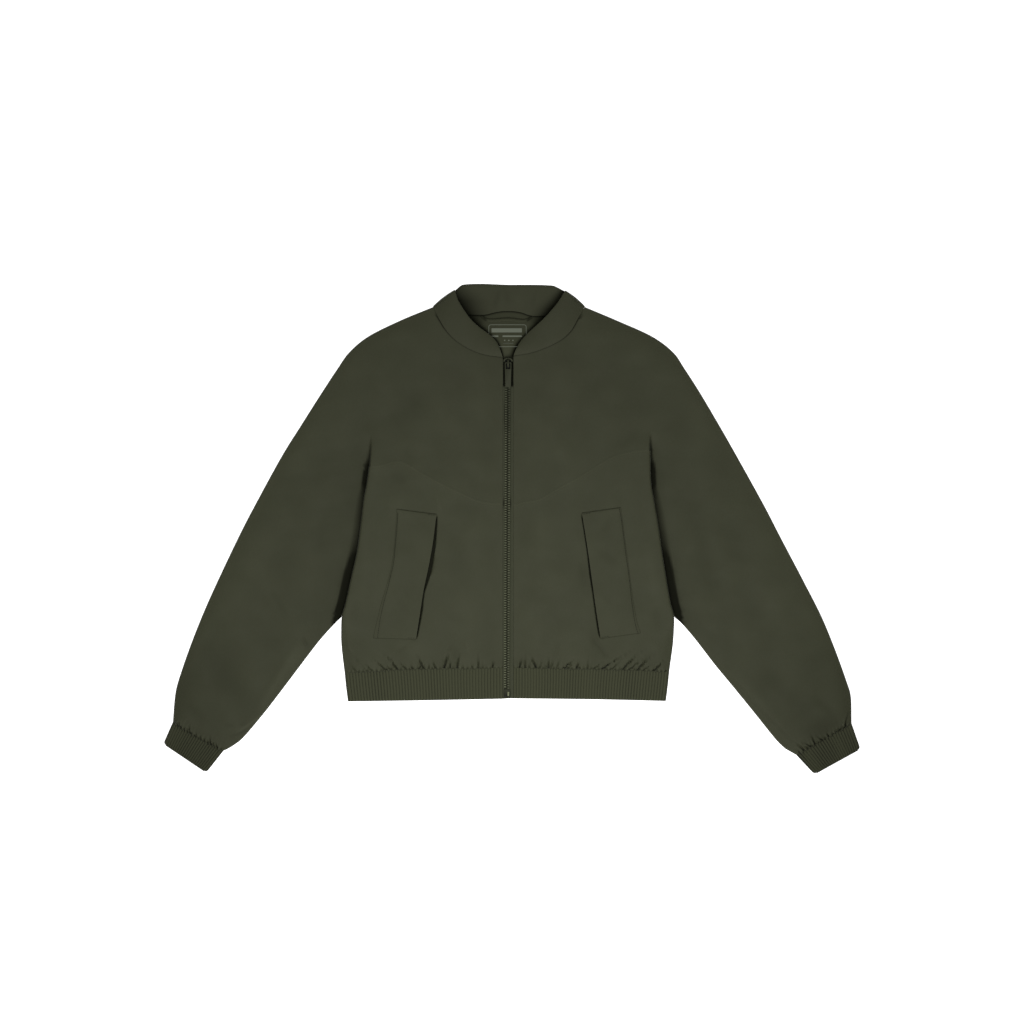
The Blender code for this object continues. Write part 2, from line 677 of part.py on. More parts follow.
def upper_outline(side):
    """The runs of the upper front's outline, in order, and where its folded edges roll out to."""
    _, along, _, up = cuff_axes(side)
    seam_up = side.seam_end_up
    ridge = side.ridge_out(seam_up)
    valley_out = side.seam_end_out - side.hidden(seam_up)
    valley_up = np.linspace(side.yoke_up(valley_out) - TUCK_UNDER, TUCK_END + VALLEY_CLEAR, VALLEY_POINTS)
    cuff = cuff_seam(side)[::-1] + GAP / 2 * up
    neck = np.vstack([side.neck, side.neck_point])
    shoulder = (neck[-1] - neck[-2]) / np.linalg.norm(neck[-1] - neck[-2])
    low_arm = inset(side.underarm, ROLL)
    low_arm[0] = side.underarm[0] + UNDERARM_CORNER
    low_arm[-1] = cuff[0] - ROLL * along
    high_arm = inset(side.overarm[::-1], ROLL)
    high_arm[0] = cuff[-1] + ROLL * along
    high_arm[-1] = neck[-1] - ROLL * shoulder
    neck = neck[:-1][neck[:-1, 1] < high_arm[-1, 1] - NECK_CLEAR][::-1]
    seam = side.yoke + (0, GAP / 2)
    runs = {
        "seam": seam,
        "step": np.array([(ridge + share * TUCK_STEP, seam[-1, 1]) for share in (0, 0.33, 0.67, 1)]),
        "under": side.yoke[side.yoke[:, 0] > valley_out + VALLEY_START][::-1] - (0, TUCK_UNDER),
        "valley": np.column_stack([side.ridge_out(valley_up) - ROLL - side.hidden(valley_up), valley_up]),
        "low_arm": low_arm,
        "cuff": cuff[2:-2],
        "high_arm": high_arm,
        "neck": neck,
        "front_edge": spaced([neck[-1], seam[0]], EDGE_STEP)[1:-1],
    }
    reaches = {
        "low_arm": np.vstack([side.underarm[:-1], cuff[0]]),
        "high_arm": np.vstack([cuff[-1], side.overarm[::-1][1:-1], side.neck_point]),
    }
    return runs, reaches


def upper_front(side):
    """The upper front, cut in one with the front of the sleeve."""
    runs, reaches = upper_outline(side)
    outline = np.vstack(list(runs.values()))
    silhouette = outline.copy()
    first, last, count = {}, {}, 0
    for name, run in runs.items():
        first[name], last[name] = count, count + len(run) - 1
        if name in reaches:
            silhouette[count : count + len(run)] = reaches[name]
        count += len(run)

    low, high, spacing = STEP_ROWS
    step_up = np.arange(side.seam_end_up + low, TUCK_TOP - high, spacing)
    step_rows = [(side.ridge_out(y) + x, y) for y in step_up for x in STEP_OFFSETS]
    low, high, spacing = CREASE_ROWS
    crease_up = np.arange(UNDERARM[0].up + low, side.seam_end_up - high, spacing)
    crease_rows = [(side.ridge_out(y) + x, y) for y in crease_up for x in CREASE_OFFSETS]
    tuck = keep_clear(np.array(step_rows + crease_rows, float), outline, TUCK_CLEAR)
    gathers = keep_clear(cuff_rows(side), outline, CUFF_CLEAR)
    outer = merge_sets((tuck, gathers, lattice(outline, OUTER_STEP)), MERGE_CLEAR)
    inner = merge_sets((tuck, lattice(outline, INNER_STEP)), MERGE_CLEAR)
    wall = Wall(outline, side.upper_level, CLOTH, lambda p: cuff_relief(side, p), outer, inner)
    section = fold_section(wall, silhouette)
    for name in reaches:
        wall.roll(first[name], last[name], section)
    wall.finish(f"front_upper_{side.name}", SIDES[side.name], SHELL)


def cuff_rows(side):
    """Rows of points for the gathers above a cuff."""
    up = cuff_axes(side)[3]
    seam = cuff_seam(side)[2:-2]
    return np.vstack([spaced(seam, spacing) + distance * up for distance, spacing in GATHER_ROWS[:3]])


def lower_front(side):
    """The lower front, with the tuck at its side."""
    hem_out = np.linspace(ZIP_EDGE, side.hem_end - ROLL, HEM_POINTS)
    hem = np.column_stack([hem_out, side.hem_up(hem_out) + GAP / 2])
    ups = (hem[-1, 1], SIDE_START, TUCK_END, side.seam_end_up - GAP / 2)
    runs = zip(ups, ups[1:], SIDE_POINTS)
    side_up = np.concatenate([np.linspace(low, high, count)[1:] for low, high, count in runs])
    edge = np.column_stack([side.ridge_out(side_up) - ROLL, side_up])
    seam = side.yoke[::-1][1:] - (0, GAP / 2)
    front_edge = spaced([seam[-1], hem[0]], EDGE_STEP)[1:-1]
    outline = np.vstack([hem, edge, seam, front_edge])

    rows = []
    for distance, spacing in GATHER_ROWS:
        x = np.arange(ZIP_EDGE + 2, hem_out[-1] - 2, spacing)
        rows.append(np.column_stack([x, side.hem_up(x) + distance]))
    gathers = keep_clear(np.vstack(rows), outline, HEM_CLEAR)
    outer = merge_sets((gathers, lattice(outline, OUTER_STEP)), HEM_MERGE_CLEAR)
    wall = Wall(outline, side.body_level, CLOTH, lambda p: hem_relief(side, p), outer)
    wall.roll(len(hem) - 1, len(hem) + len(edge) - 1, side_section(wall, side))
    wall.finish(f"front_lower_{side.name}", SIDES[side.name], SHELL)


def front_top(side, points):
    """Height of the lower front's outer face."""
    return side.body_level(points) + CLOTH + hem_relief(side, points)


def welt(side):
    """The wide welt over the pocket opening, made from the lower front's own surface."""
    table = WELTS[side.name]
    sewn = curve([(row.sewn_out, row.sewn_up) for row in table], WELT_STEP)
    opening = curve([(row.open_out, row.open_up) for row in table], WELT_STEP)
    bottom = spaced([sewn[-1], opening[-1]], WELT_STEP)[1:-1]
    top = spaced([opening[0], sewn[0]], WELT_STEP)[1:-1]
    outline = np.vstack([opening[::-1], top, sewn, bottom])
    points = lattice(outline, OUTER_STEP)

    def level(at):
        lift = WELT_LIFT * np.exp(-distance_to(at, opening) / WELT_LIFT_REACH)
        return front_top(side, at) + GAP + lift

    wall = Wall(outline, level, WELT_CLOTH, None, points, points)
    wall.finish(f"welt_{side.name}", SIDES[side.name], SHELL)


def back_half(side):
    """One half of the back's outline, from the middle of the hem round to the middle of the neck."""
    hem_out = np.linspace(0, side.hem_end - BACK_INSET, BACK_HEM_POINTS)
    hem = np.column_stack([hem_out, side.hem_up(hem_out) + GAP])
    below = side.ridge[side.ridge[:, 1] < UNDERARM[0].up - BACK_CLEAR][::-1]
    flank = inset(below, BACK_INSET)[1:]
    corner = [side.underarm[0] + BACK_CORNER]
    low_arm = inset(side.underarm, BACK_INSET)[1:-1]
    cuff = cuff_seam(side, BACK_STEP)[::-1][1:-1] + GAP * cuff_axes(side)[3]
    high_arm = inset(side.overarm[::-1], BACK_INSET)[1:-1]
    neck = seam_line(BACK_NECK, side.name, BACK_STEP)[::-1] - (0, GAP)
    return np.vstack([hem, flank, corner, low_arm, cuff, high_arm, neck[1:]])


def back(sides):
    """The back, cut in one with both sleeves' backs. It lies flat and ends inside the fronts' rolls."""
    left = back_half(sides["left"])[::-1] * (-1, 1)
    outline = np.vstack([back_half(sides["right"])[:-1], left[:-1]])
    points = lattice(outline, 3 * OUTER_STEP)
    Wall(outline, lambda p: np.zeros(len(p)), CLOTH, None, points, points).finish("back", 1, SHELL_DARK)


# --- Bands --------------------------------------------------------------------------------------


def turn_points(centre, radius, first, last, steps):
    """(across, z) round an arc, with its ends left out."""
    angles = np.linspace(first, last, steps + 1)[1:-1]
    return [(centre[0] + radius * math.cos(a), centre[1] + radius * math.sin(a)) for a in angles]


def ribbed(start, end, count):
    """(across, share of the rise) of each point on `count` ribs between start and end."""
    pitch = (end - start) / count
    points = [(start + pitch * (k + at), rise) for k in range(count) for at, rise in RIB_PROFILE]
    return points + [(end, 0.0)]


def places_along(row, across):
    """Each point's place along a row, 0 to 1, by its steps across and a little by those in height."""
    flat = np.array(row, float)
    steps = np.abs(np.diff(flat[:, :2] @ across)) + HEIGHT_SHARE * np.abs(np.diff(flat[:, 2]))
    along = np.concatenate([[0], np.cumsum(steps)])
    return along / along[-1]


def face_sizes(face, ribs, plain):
    """A band face's distance from the outer face, the rise of its ribs, and how many it has."""
    return (0.0, RIB_RISE, ribs) if face == "outer" else (RIB_CLOTH, 0.0, plain)


def hem_half(face, end, ribs):
    """Half a section of the hem band, as (out, z): the front, the side fold and the fold's foot."""
    lift, rise, count = face_sizes(face, ribs, HEM_PLAIN)
    radius = HEM_HEIGHT / 2
    front = [(out, HEM_HEIGHT - lift + rise * high) for out, high in ribbed(ZIP_EDGE, end, count)]
    fold = turn_points((end, radius), radius - lift, math.pi / 2, -math.pi / 2, BAND_TURNS)
    return front + fold + [(end, lift)]


def hem_row(sides, face, share):
    """The hem band's row of points at a share of the way from its seam to its lower edge."""
    halves = {}
    for name, side in sides.items():
        halves[name] = hem_half(face, side.hem_end - share * HEM_TAPER - HEM_HEIGHT / 2, HEM_RIBS[name])
    left = [(-out, z) for out, z in halves["left"]]
    right = halves["right"][::-1]
    under = [(x, left[-1][1]) for x in np.linspace(left[-1][0], right[0][0], BACK_UNDER_POINTS)[1:-1]]
    row = []
    for x, z in left + under + right:
        side = sides["left" if x < 0 else "right"]
        top = float(side.hem_up(abs(x))) - GAP / 2
        low = float(side.hem_edge_up(abs(x)))
        row.append((x, top + share * (low - top), z))
    return row


def hem_band(sides):
    """The ribbed hem band: its front halves, folded at each side into the plain back."""
    rings = {face: [hem_row(sides, face, share) for share in (0.0, 1.0)] for face in FACES}
    places = [places_along(rings[face][0], (1, 0)) for face in FACES]
    band("hem_band", rings, places, False, SHELL)


def cuff_loop(face, length):
    """A section across a cuff, as (across, z): front, inner fold, underside, outer fold."""
    lift, rise, count = face_sizes(face, CUFF_RIBS, CUFF_PLAIN)
    radius = CUFF_HEIGHT / 2
    loop = [(x, CUFF_HEIGHT - lift + rise * high) for x, high in ribbed(radius, length - radius, count)]
    loop += turn_points((length - radius, radius), radius - lift, math.pi / 2, -math.pi / 2, BAND_TURNS)
    loop += [(x, lift) for x in np.linspace(length - radius, radius, CUFF_UNDER_POINTS)]
    loop += turn_points((radius, radius), radius - lift, 3 * math.pi / 2, math.pi / 2, BAND_TURNS)
    return loop


def cuff_row(side, face, share):
    """A cuff's row of points at a share of the way from its seam to the wrist."""
    cuff = CUFFS[side.name]
    up = cuff_axes(side)[3]
    start = (1 - share) * np.array(cuff.seam_out, float) + share * np.array(cuff.wrist_out, float)
    end = (1 - share) * np.array(cuff.seam_in, float) + share * np.array(cuff.wrist_in, float)
    length = np.linalg.norm(end - start)
    row = []
    for x, z in cuff_loop(face, length):
        bow = cuff.bow * math.sin(math.pi * np.clip(x / length, 0, 1))
        at = start + x * (end - start) / length - (1 - share) * (bow + GAP / 2) * up
        row.append((SIDES[side.name] * at[0], at[1], z))
    return row


def cuff_band(side):
    """A ribbed cuff: a flattened tube, plain underneath."""
    rings = {face: [cuff_row(side, face, share) for share in (0.0, 1.0)] for face in FACES}
    across = cuff_axes(side)[1] * (SIDES[side.name], 1)
    places = []
    for face in FACES:
        row = rings[face][0]
        places.append(places_along(row + row[:1], across)[:-1])
    band(f"cuff_{side.name}", rings, places, True, SHELL)


def collar_sections(side):
    """Sections of half the collar, from the zip round the side fold to the middle of the back.

    Each is (seam point, its height, edge point, its height, turn, way). Heights are those of the
    wall's middle. The turn is the angle of the outer face's direction: 90 is up, 0 points along
    the way, which is the flat direction that the fold bulges in, and -90 is down.
    """
    half = COLLAR_CLOTH / 2
    neck = np.vstack([side.neck, side.neck_point])
    edge_rows = [(row.out, getattr(row, side.name)) for row in COLLAR_EDGE]
    edge = curve(edge_rows + [COLLAR_FOLD[side.name]], 4.0)
    seam_at, edge_at = divided(neck, COLLAR_FRONT_STEPS), divided(edge, COLLAR_FRONT_STEPS)
    share = np.linspace(0, 1, COLLAR_FRONT_STEPS + 1)
    seam_z = side.body_level(seam_at) + half
    edge_z = COLLAR_EDGE_LEVEL + COLLAR_EDGE_RISE * smooth((share - COLLAR_RISE_FROM) / COLLAR_RISE_OVER)
    fold = edge_at[-1] - seam_at[-1]
    way = np.array([fold[1], -fold[0]]) / np.linalg.norm(fold)
    front = zip(seam_at[:-1], seam_z, edge_at[:-1], edge_z)
    sections = [(*ends, 90.0, way) for ends in front]

    radii = ((seam_z[-1] - half) / 2, (edge_z[-1] - half) / 2)
    centres = (seam_at[-1] - radii[0] * way, edge_at[-1] - radii[1] * way)
    for turn in np.linspace(90, -90, COLLAR_TURN_STEPS + 1):
        angle = math.radians(turn)
        ends = []
        for centre, radius in zip(centres, radii):
            ends += [centre + radius * math.cos(angle) * way, half + radius * (1 + math.sin(angle))]
        sections.append((*ends, turn, way))
    back_seam = np.vstack([centres[0], seam_line(BACK_NECK, side.name, BACK_STEP)[::-1][1:]])
    back_edge = np.vstack([centres[1], seam_line(COLLAR_BACK, side.name, BACK_STEP)[::-1]])
    behind = zip(divided(back_seam, COLLAR_BACK_STEPS)[1:], divided(back_edge, COLLAR_BACK_STEPS)[1:])
    return sections + [(seam, half, edge, half, -90.0, way) for seam, edge in behind]


def collar(sides):
    """The plain band collar: one strip from the zip round the neck to the zip, folded at each side."""
    half = COLLAR_CLOTH / 2
    rings = {face: [[] for _ in COLLAR_ROWS] for face in FACES}
    left = [(section, -1) for section in collar_sections(sides["left"])]
    right = [(section, 1) for section in collar_sections(sides["right"])][::-1]
    for (seam, seam_z, edge, edge_z, turn, way), sign in left[:-1] + right:
        angle = math.radians(turn)
        out = np.array([*(math.cos(angle) * way), math.sin(angle)])
        gap = (edge - seam) / np.linalg.norm(edge - seam) * 2 * GAP
        for k, share in enumerate(COLLAR_ROWS):
            flat = (1 - share) * (seam + gap) + share * edge
            crown = COLLAR_CROWN * math.sin(math.pi * share) * max(math.sin(angle), 0.0)
            middle = np.array([*flat, (1 - share) * seam_z + share * edge_z + crown])
            for face, distance in (("outer", half), ("inner", -half)):
                rings[face][k].append(tuple((middle + distance * out) * (sign, 1, 1)))
    places = np.linspace(0, 1, len(rings["outer"][0]))
    band("collar", rings, (places, places), False, SHELL)


# --- Zip and loop ---------------------------------------------------------------------------------


def prism(name, outline, low, high, colour, bevel=0.0, roughness=0.6, metallic=0.0):
    """An upright block over a flat outline, with an optional bevel on its upper edge."""
    outline = np.array(outline, float)
    middle = outline.mean(axis=0)
    rings = [(outline, low), (outline, high - bevel)]
    if bevel:
        away = np.linalg.norm(outline - middle, axis=1)[:, None]
        rings.append((middle + (outline - middle) * (1 - bevel / away), high))
    points = [(*p, z) for ring, z in rings for p in ring]
    n = len(outline)
    faces = [tuple(range(n)), tuple(range(len(points) - n, len(points)))]
    for base in range(0, len(points) - n, n):
        faces += ring_faces(base, base + n, n)
    return mesh_object(name, points, faces, colour, roughness, metallic)


def ring_faces(low, high, count):
    """Faces between two rings of `count` points that start at the indices low and high."""
    return [(low + k, low + (k + 1) % count, high + (k + 1) % count, high + k) for k in range(count)]


def mirrored(half):
    """A closed outline from its right half, given as (half width, along)."""
    return [(x, y) for x, y in half] + [(-x, y) for x, y in reversed(half)]


def box_outline(half, low, high):
    return [(-half, low), (half, low), (half, high), (-half, high)]


def zip_tapes_and_chain():
    """The tape behind each front's edge, the chain of teeth as one bar, and the box at its foot."""
    for name, sign in SIDES.items():
        near, far = sign * TAPE_NEAR, sign * TAPE_OUT
        tape = [(near, ZIP_BOTTOM), (far, ZIP_BOTTOM), (far, ZIP_TOP), (near, ZIP_TOP)]
        prism(f"zip_tape_{name}", tape, TAPE_LOW, TAPE_LOW + TAPE_WALL, ZIP_COLOUR, roughness=0.8)
    chain = box_outline(CHAIN_HALF, CHAIN_FOOT, CHAIN_TOP)
    prism("zip_chain", chain, CHAIN_LOW, CHAIN_HIGH, ZIP_COLOUR, bevel=0.6)
    foot = box_outline(BOX_HALF, BOX_FOOT, BOX_TOP)
    prism("zip_box", foot, CHAIN_LOW, BOX_HIGH, METAL, bevel=0.7, roughness=0.4, metallic=0.6)


def square_tube(path, half_wide, half_tall, across):
    """Points and faces of a bar of square section along a path; `across` is its sideways direction."""
    path = [np.array(p, float) for p in path]
    across = np.array(across, float)
    points, faces = [], []
    for k, p in enumerate(path):
        ahead = path[min(k + 1, len(path) - 1)] - path[max(k - 1, 0)]
        up = np.cross(ahead / np.linalg.norm(ahead), across)
        for a, b in ((-1, -1), (1, -1), (1, 1), (-1, 1)):
            points.append(tuple(p + a * half_wide * across + b * half_tall * up))
    for base in range(0, len(points) - 4, 4):
        faces += ring_faces(base, base + 4, 4)
    faces += [(0, 1, 2, 3), tuple(range(len(points) - 4, len(points)))]
    return points, faces


def union(target, helper):
    """Joins the helper's solid to the target and removes the helper."""
    joined = target.modifiers.new("joined", "BOOLEAN")
    joined.operation = "UNION"
    joined.object = helper
    helper.hide_render = True
    helper.display_type = "WIRE"


def zip_slider():
    """The slider's body and, over it, the bridge that carries the pull."""
    body = prism("zip_slider", mirrored(SLIDER), CHAIN_LOW, SLIDER_HIGH, METAL, 0.6, 0.4, 0.6)
    path = [(0, up, z) for up, z in BRIDGE]
    points, faces = square_tube(path, BRIDGE_HALF, BRIDGE_WALL / 2, (1, 0, 0))
    union(body, mesh_object("zip_bridge_shape", points, faces, METAL))


def zip_pull():
    """The pull: a cross bar through the slider's bridge, two arms and a long tab."""
    pivot = bpy.data.objects.new("zip_pull_hinge", None)
    pivot.location = (0, PULL_UP / 1000, PULL_HIGH / 1000)
    bpy.context.scene.collection.objects.link(pivot)
    outline, hole = np.array(mirrored(PULL_OUTLINE), float), np.array(box_outline(*PULL_HOLE), float)
    n, m = len(outline), len(hole)
    flat = np.vstack([outline, hole])
    points = [(*p, z) for z in (-PULL_WIRE, PULL_WIRE) for p in flat]
    edges = [(k, (k + 1) % n) for k in range(n)] + [(n + k, n + (k + 1) % m) for k in range(m)]
    corners = [Vector(p) for p in flat.tolist()]
    _, _, cells, origin, _, _ = delaunay_2d_cdt(corners, edges, [], 0, 1e-6)
    faces = ring_faces(0, n + m, n) + ring_faces(n, 2 * n + m, m)
    for cell in cells:
        cell = [origin[k][0] for k in cell]
        centre = flat[cell].mean(axis=0)[None]
        if inside(centre, outline)[0] and not inside(centre, hole)[0]:
            faces += [tuple(cell), tuple(k + n + m for k in cell)]
    pull = mesh_object("zip_pull", points, faces, METAL, 0.4, 0.6, parent=pivot)
    pull.rotation_euler = (PULL_TILT, 0, 0)


def hanger_loop():
    """The ribbon loop inside the back neck."""
    path = curve(LOOP_PATH, 5.0)
    low = CLOTH + GAP
    rings = {}
    for face, z in (("outer", low + LOOP_WALL), ("inner", low)):
        rings[face] = [[(*p, z) for p in inset(path, share * LOOP_WIDE)] for share in (-0.5, 0.5)]
    places = np.linspace(0, 1, len(path))
    band("hanger_loop", rings, (places, places), False, SHELL_DARK)


def clear_scene():
    for thing in list(bpy.data.objects):
        bpy.data.objects.remove(thing, do_unlink=True)


def main():
    clear_scene()
    sides = {name: Side(name) for name in SIDES}
    back(sides)
    for side in sides.values():
        upper_front(side)
        lower_front(side)
        welt(side)
        cuff_band(side)
    hem_band(sides)
    collar(sides)
    zip_tapes_and_chain()
    zip_slider()
    zip_pull()
    hanger_loop()


main()
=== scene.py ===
"""The looks of the bomber jacket: fine cloth shells, ribs, gathers, sewing, the zip's teeth and its metal.

Lengths are in millimetres until mesh_object() turns them into metres. "out" is the distance from
the zip's centre line towards either sleeve, "up" runs from the hem towards the collar, and z is
the height above the surface that the jacket lies on.
"""

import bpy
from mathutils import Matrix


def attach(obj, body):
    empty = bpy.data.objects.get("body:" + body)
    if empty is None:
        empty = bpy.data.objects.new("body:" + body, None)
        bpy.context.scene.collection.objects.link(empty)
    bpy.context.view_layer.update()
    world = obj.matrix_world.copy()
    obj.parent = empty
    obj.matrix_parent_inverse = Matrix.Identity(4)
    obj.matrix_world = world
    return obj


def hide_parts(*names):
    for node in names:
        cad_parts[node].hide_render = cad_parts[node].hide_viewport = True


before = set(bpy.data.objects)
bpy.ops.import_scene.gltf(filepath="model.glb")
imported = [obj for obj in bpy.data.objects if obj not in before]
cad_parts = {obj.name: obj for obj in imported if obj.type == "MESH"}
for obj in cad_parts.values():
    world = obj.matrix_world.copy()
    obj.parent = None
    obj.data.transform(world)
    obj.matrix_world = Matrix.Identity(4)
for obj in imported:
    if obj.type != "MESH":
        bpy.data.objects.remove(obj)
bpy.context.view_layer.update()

from collections import namedtuple
import math

import bmesh
import bpy
from mathutils import Vector
from mathutils.geometry import delaunay_2d_cdt
import numpy as np

SIDES = {"left": -1, "right": 1}
FACES = ("outer", "inner")


def listed(kind, *table):
    """A table's rows as named tuples of one kind."""
    return [kind(*row) for row in table]


# Walls and the gap kept between neighbouring pieces
CLOTH = 1.5
COLLAR_CLOTH = 2.0
RIB_CLOTH = 1.6
GAP = 0.3
SEAM_GAP = 0.04  # between the shells of two pieces that are sewn together
NECK_LAP = 0.4  # how far the back's shell reaches into the collar's at their seam

# Heights of a front's inner face above the surface
EDGE_LEVEL = CLOTH + GAP  # where a front lies flat on the back
LOFT = 5.6  # how much higher its middle lies
LOFT_REACH = 13.0  # distance from the edge over which it rises
RIDGE_LEVEL = 10.4  # at the folded side of the body
ZIP_LEVEL = 3.3  # beside the zip
ZIP_SPREAD = 42.0
HEM_LEVEL = 4.9
HEM_SPREAD = 17.0
CUFF_LEVEL = 4.2
CUFF_SPREAD = 16.0

# Folded edges
ROLL = 3.2  # width of the roll at an outline fold
FOOT = 0.3  # lowest point of a rolled edge
FOLD_STEPS = 8  # faces round a rolled edge
BACK_INSET = 2.5
UNDERARM_CORNER = (2.2, 2.6)

# The tuck at each side of the body: the body's cloth lies over the sleeve as far as the underarm
TUCK_TOP = 142.0
TUCK_STEP = 4.2  # width of its step in the upper front
TUCK_START = -2.8  # where that step starts, out from the ridge
TUCK_HIDDEN = 11.0  # depth of the cloth folded under, where it is deepest
TUCK_LEAST = 1.0  # and where it starts
TUCK_DEEPENS = 36.0  # distance over which it deepens
TUCK_FLAT = 9.0  # width over which the body lies level on the tuck
TUCK_SPREAD = 26.0
TUCK_UNDER = 0.8
TUCK_END = -131.0
SIDE_START = -146.0
SIDE_LEVEL = -165.0
SIDE_TAIL = 0.5
Groove = namedtuple("Groove", "up width spread fade dark")
# The sleeve beside the tuck: the width of the groove's flat bottom, how far the sleeve takes to come
# up from it, how far its painted shade takes to fade, and how strong that painted shade is
GROOVE = listed(
    Groove,
    (150, 0.3, 6, 3, 0.2), (132, 0.4, 10, 3, 0.5), (120, 0.6, 12, 3, 0.7), (104, 1.6, 15, 5, 0.6),
    (94, 4.0, 15, 5, 0.85), (84, 5.4, 15, 5, 0.95), (68, 5.2, 15, 5, 0.95), (58, 3.2, 16, 8, 0.75),
    (42, 2.4, 17, 12, 0.6), (12, 2.2, 18, 14, 0.6), (-15, 3.0, 18, 13, 0.65), (-30, 4.4, 18, 11, 0.75),
    (-42, 6.8, 17, 8, 0.9), (-60, 9.0, 17, 7, 0.95), (-96, 9.5, 15, 6, 0.95), (-127, 10.5, 12, 5, 0.95),
)

# Mesh spacing
OUTLINE_STEP = 5.0
SEAM_STEP = 1.4
FRONT_STEP = 4.2
BACK_POINT_STEP = 7.0
BACK_STEP = 4.0
EDGE_STEP = 4.0
WELT_STEP = 2.4
MERGE_SHARE = 0.72

# Outline rows: how far up, then how far out on each side
At = namedtuple("At", "up left right")
OVERARM = listed(  # from the neck point over the shoulder (256) and the elbow (-11) to the cuff seam
    At,
    (322, 108.5, 111), (302, 157, 158.5), (279, 203, 209), (256, 230.5, 239.5), (233, 247, 255.5),
    (198, 270, 278), (151.5, 299.5, 305.5), (105, 328.5, 332), (35.5, 366.5, 370.5), (-11, 390.5, 394.5),
    (-80.5, 423.5, 431), (-127, 444, 454.5), (-173, 462, 473.5), (-220, 478, 490.5), (-243, 483, 497),
    (-280, 486, 498),
)
UNDERARM = listed(  # from the underarm point to the cuff seam
    At,
    (-127, 241, 240.5), (-138.5, 252.5, 253), (-162, 273.5, 273), (-196.5, 300, 299.5), (-231, 326, 328),
    (-266, 353, 356.5), (-301, 382.5, 384.5), (-313, 397, 395.5), (-322, 412, 406),
)
RIDGE = listed(  # from the top of the tuck past the underarm point to the hem seam
    At,
    (142, 198.5, 207), (100, 201, 206.5), (67, 205, 207.5), (43, 209.5, 211.5), (5, 214, 218),
    (-34, 219.5, 223.5), (-72, 228, 229.5), (-106, 235.5, 235.5), (-127, 241, 240.5), (-162, 242, 239.5),
    (-197, 238.5, 235), (-208, 237, 233.5),
)

# Seam rows: how far out, then how far up on each side
Seam = namedtuple("Seam", "out left right")
YOKE = listed(
    Seam,
    (7.8, 36, 34), (25, 36.5, 38.5), (45, 40.5, 42), (75, 54, 59), (105, 69, 75.5), (130, 83, 91),
    (150, 95.5, 102.5), (165, 96.5, 108), (185, 91, 112), (206, 89, 114),
)
NECK = listed(
    Seam,
    (7.8, 249, 251), (33, 252.5, 255.5), (50, 258, 261), (66, 266.5, 268), (80, 277, 276.5),
    (92, 291, 288.5), (101, 306, 304.5),
)
COLLAR_EDGE = listed(
    Seam,
    (12, 262, 262), (17, 272, 271), (27, 282, 282.5), (40, 291.5, 294.5), (51, 301, 304.5),
    (60, 312, 314), (72, 331, 328.5),
)
BACK_NECK = listed(
    Seam,
    (0, 316, 316), (9, 315.7, 315.6), (20, 313.9, 313.7), (38, 310.4, 308.8), (75, 313, 312),
    (109, 322, 321),
)
COLLAR_FOLD = {"left": (77, 346), "right": (82.5, 345)}  # out and up, where its top edge folds
COLLAR_BACK = listed(
    Seam,
    (0, 354, 354), (40, 355.5, 354), (64, 354.5, 353), (70, 352, 351),
)
COLLAR_EDGE_LEVEL = 6.2
COLLAR_EDGE_RISE = 6.2
COLLAR_CROWN = 1.5
COLLAR_ROWS = 10
FOLD_WIDTHS = (2.4, 0.5)  # how far its side fold bulges, at the seam and at the edge
FOLD_BULGE = 1.3  # and how much more between them
COLLAR_FRONT_STEPS = 60
COLLAR_TURN_STEPS = 14
COLLAR_BACK_STEPS = 40
HEM = listed(
    Seam,
    (0, -201, -201), (127, -202.5, -202.5), (200, -205.5, -205), (236, -208, -207),
)
HEM_EDGE = listed(
    Seam,
    (0, -246, -245.5), (127, -248.5, -247), (236, -250, -249.5),
)

# Gathers: where each crease meets the seam, how far up it reaches, its lean outwards and its depth
HEM_GATHERS = {
    "left": (
        (219, 12, 0.65, 1.6), (204, 10, 0.7, 1.2), (196, 12, 0.8, 1.6), (176, 15, 0.85, 2.4),
        (169, 8, 0.7, 2.0), (159.5, 20, 0.6, 3.0), (146.5, 11, 0.8, 1.8), (138.5, 6, 0.3, 2.6),
        (130, 9, -0.5, 2.8), (122, 16, 0.4, 3.4), (114, 8, 0.1, 1.4), (105, 11, 0.3, 2.2),
        (93, 24, -0.22, 3.4), (84, 10, 0.0, 2.8), (74, 19, -0.1, 3.0), (65, 6, 0.2, 1.2),
        (53, 7, -0.2, 1.4), (43, 17, 0.0, 2.2), (36, 8, 0.0, 1.2), (22.5, 9, -0.1, 3.6),
    ),
    "right": (
        (16.5, 12, 0.15, 3.2), (24.5, 15, 0.0, 2.0), (30, 8, 0.1, 1.2), (41, 15, -0.35, 3.6),
        (46, 12, 0.2, 1.6), (54, 9, 0.0, 1.4), (58.5, 14, 0.0, 2.0), (62, 12, 0.25, 1.8),
        (70, 14, 0.3, 1.4), (80, 12, 0.9, 3.2), (86, 8, 0.8, 1.8), (99, 10, 0.3, 3.2),
        (104, 7, -0.3, 1.4), (115, 14, 0.1, 1.4), (121, 10, 1.3, 1.6), (134.5, 22, 1.15, 3.4),
        (148.5, 15, 0.9, 1.8), (165, 24, 0.75, 3.4), (173, 18, 1.1, 2.2), (186, 20, 0.75, 3.2),
        (192, 12, 1.4, 1.6), (209.5, 16, 0.85, 3.2), (224, 9, 1.6, 2.2),
    ),
}
PUFF_RISE = 2.2  # height of the cloth between two creases
PUFF_PEAK = 4.5  # distance from the seam at which it is highest
PUFF_REACH = 18.0
CREASE_NARROW = 0.72  # width of a crease at the seam and how fast it widens
CREASE_WIDEN = 0.035
CREASE_LINE = 0.62  # painted shade of a crease above its pit
CREASE_RIDGE = 0.3  # height of the ridges beside a crease, as a share of its depth
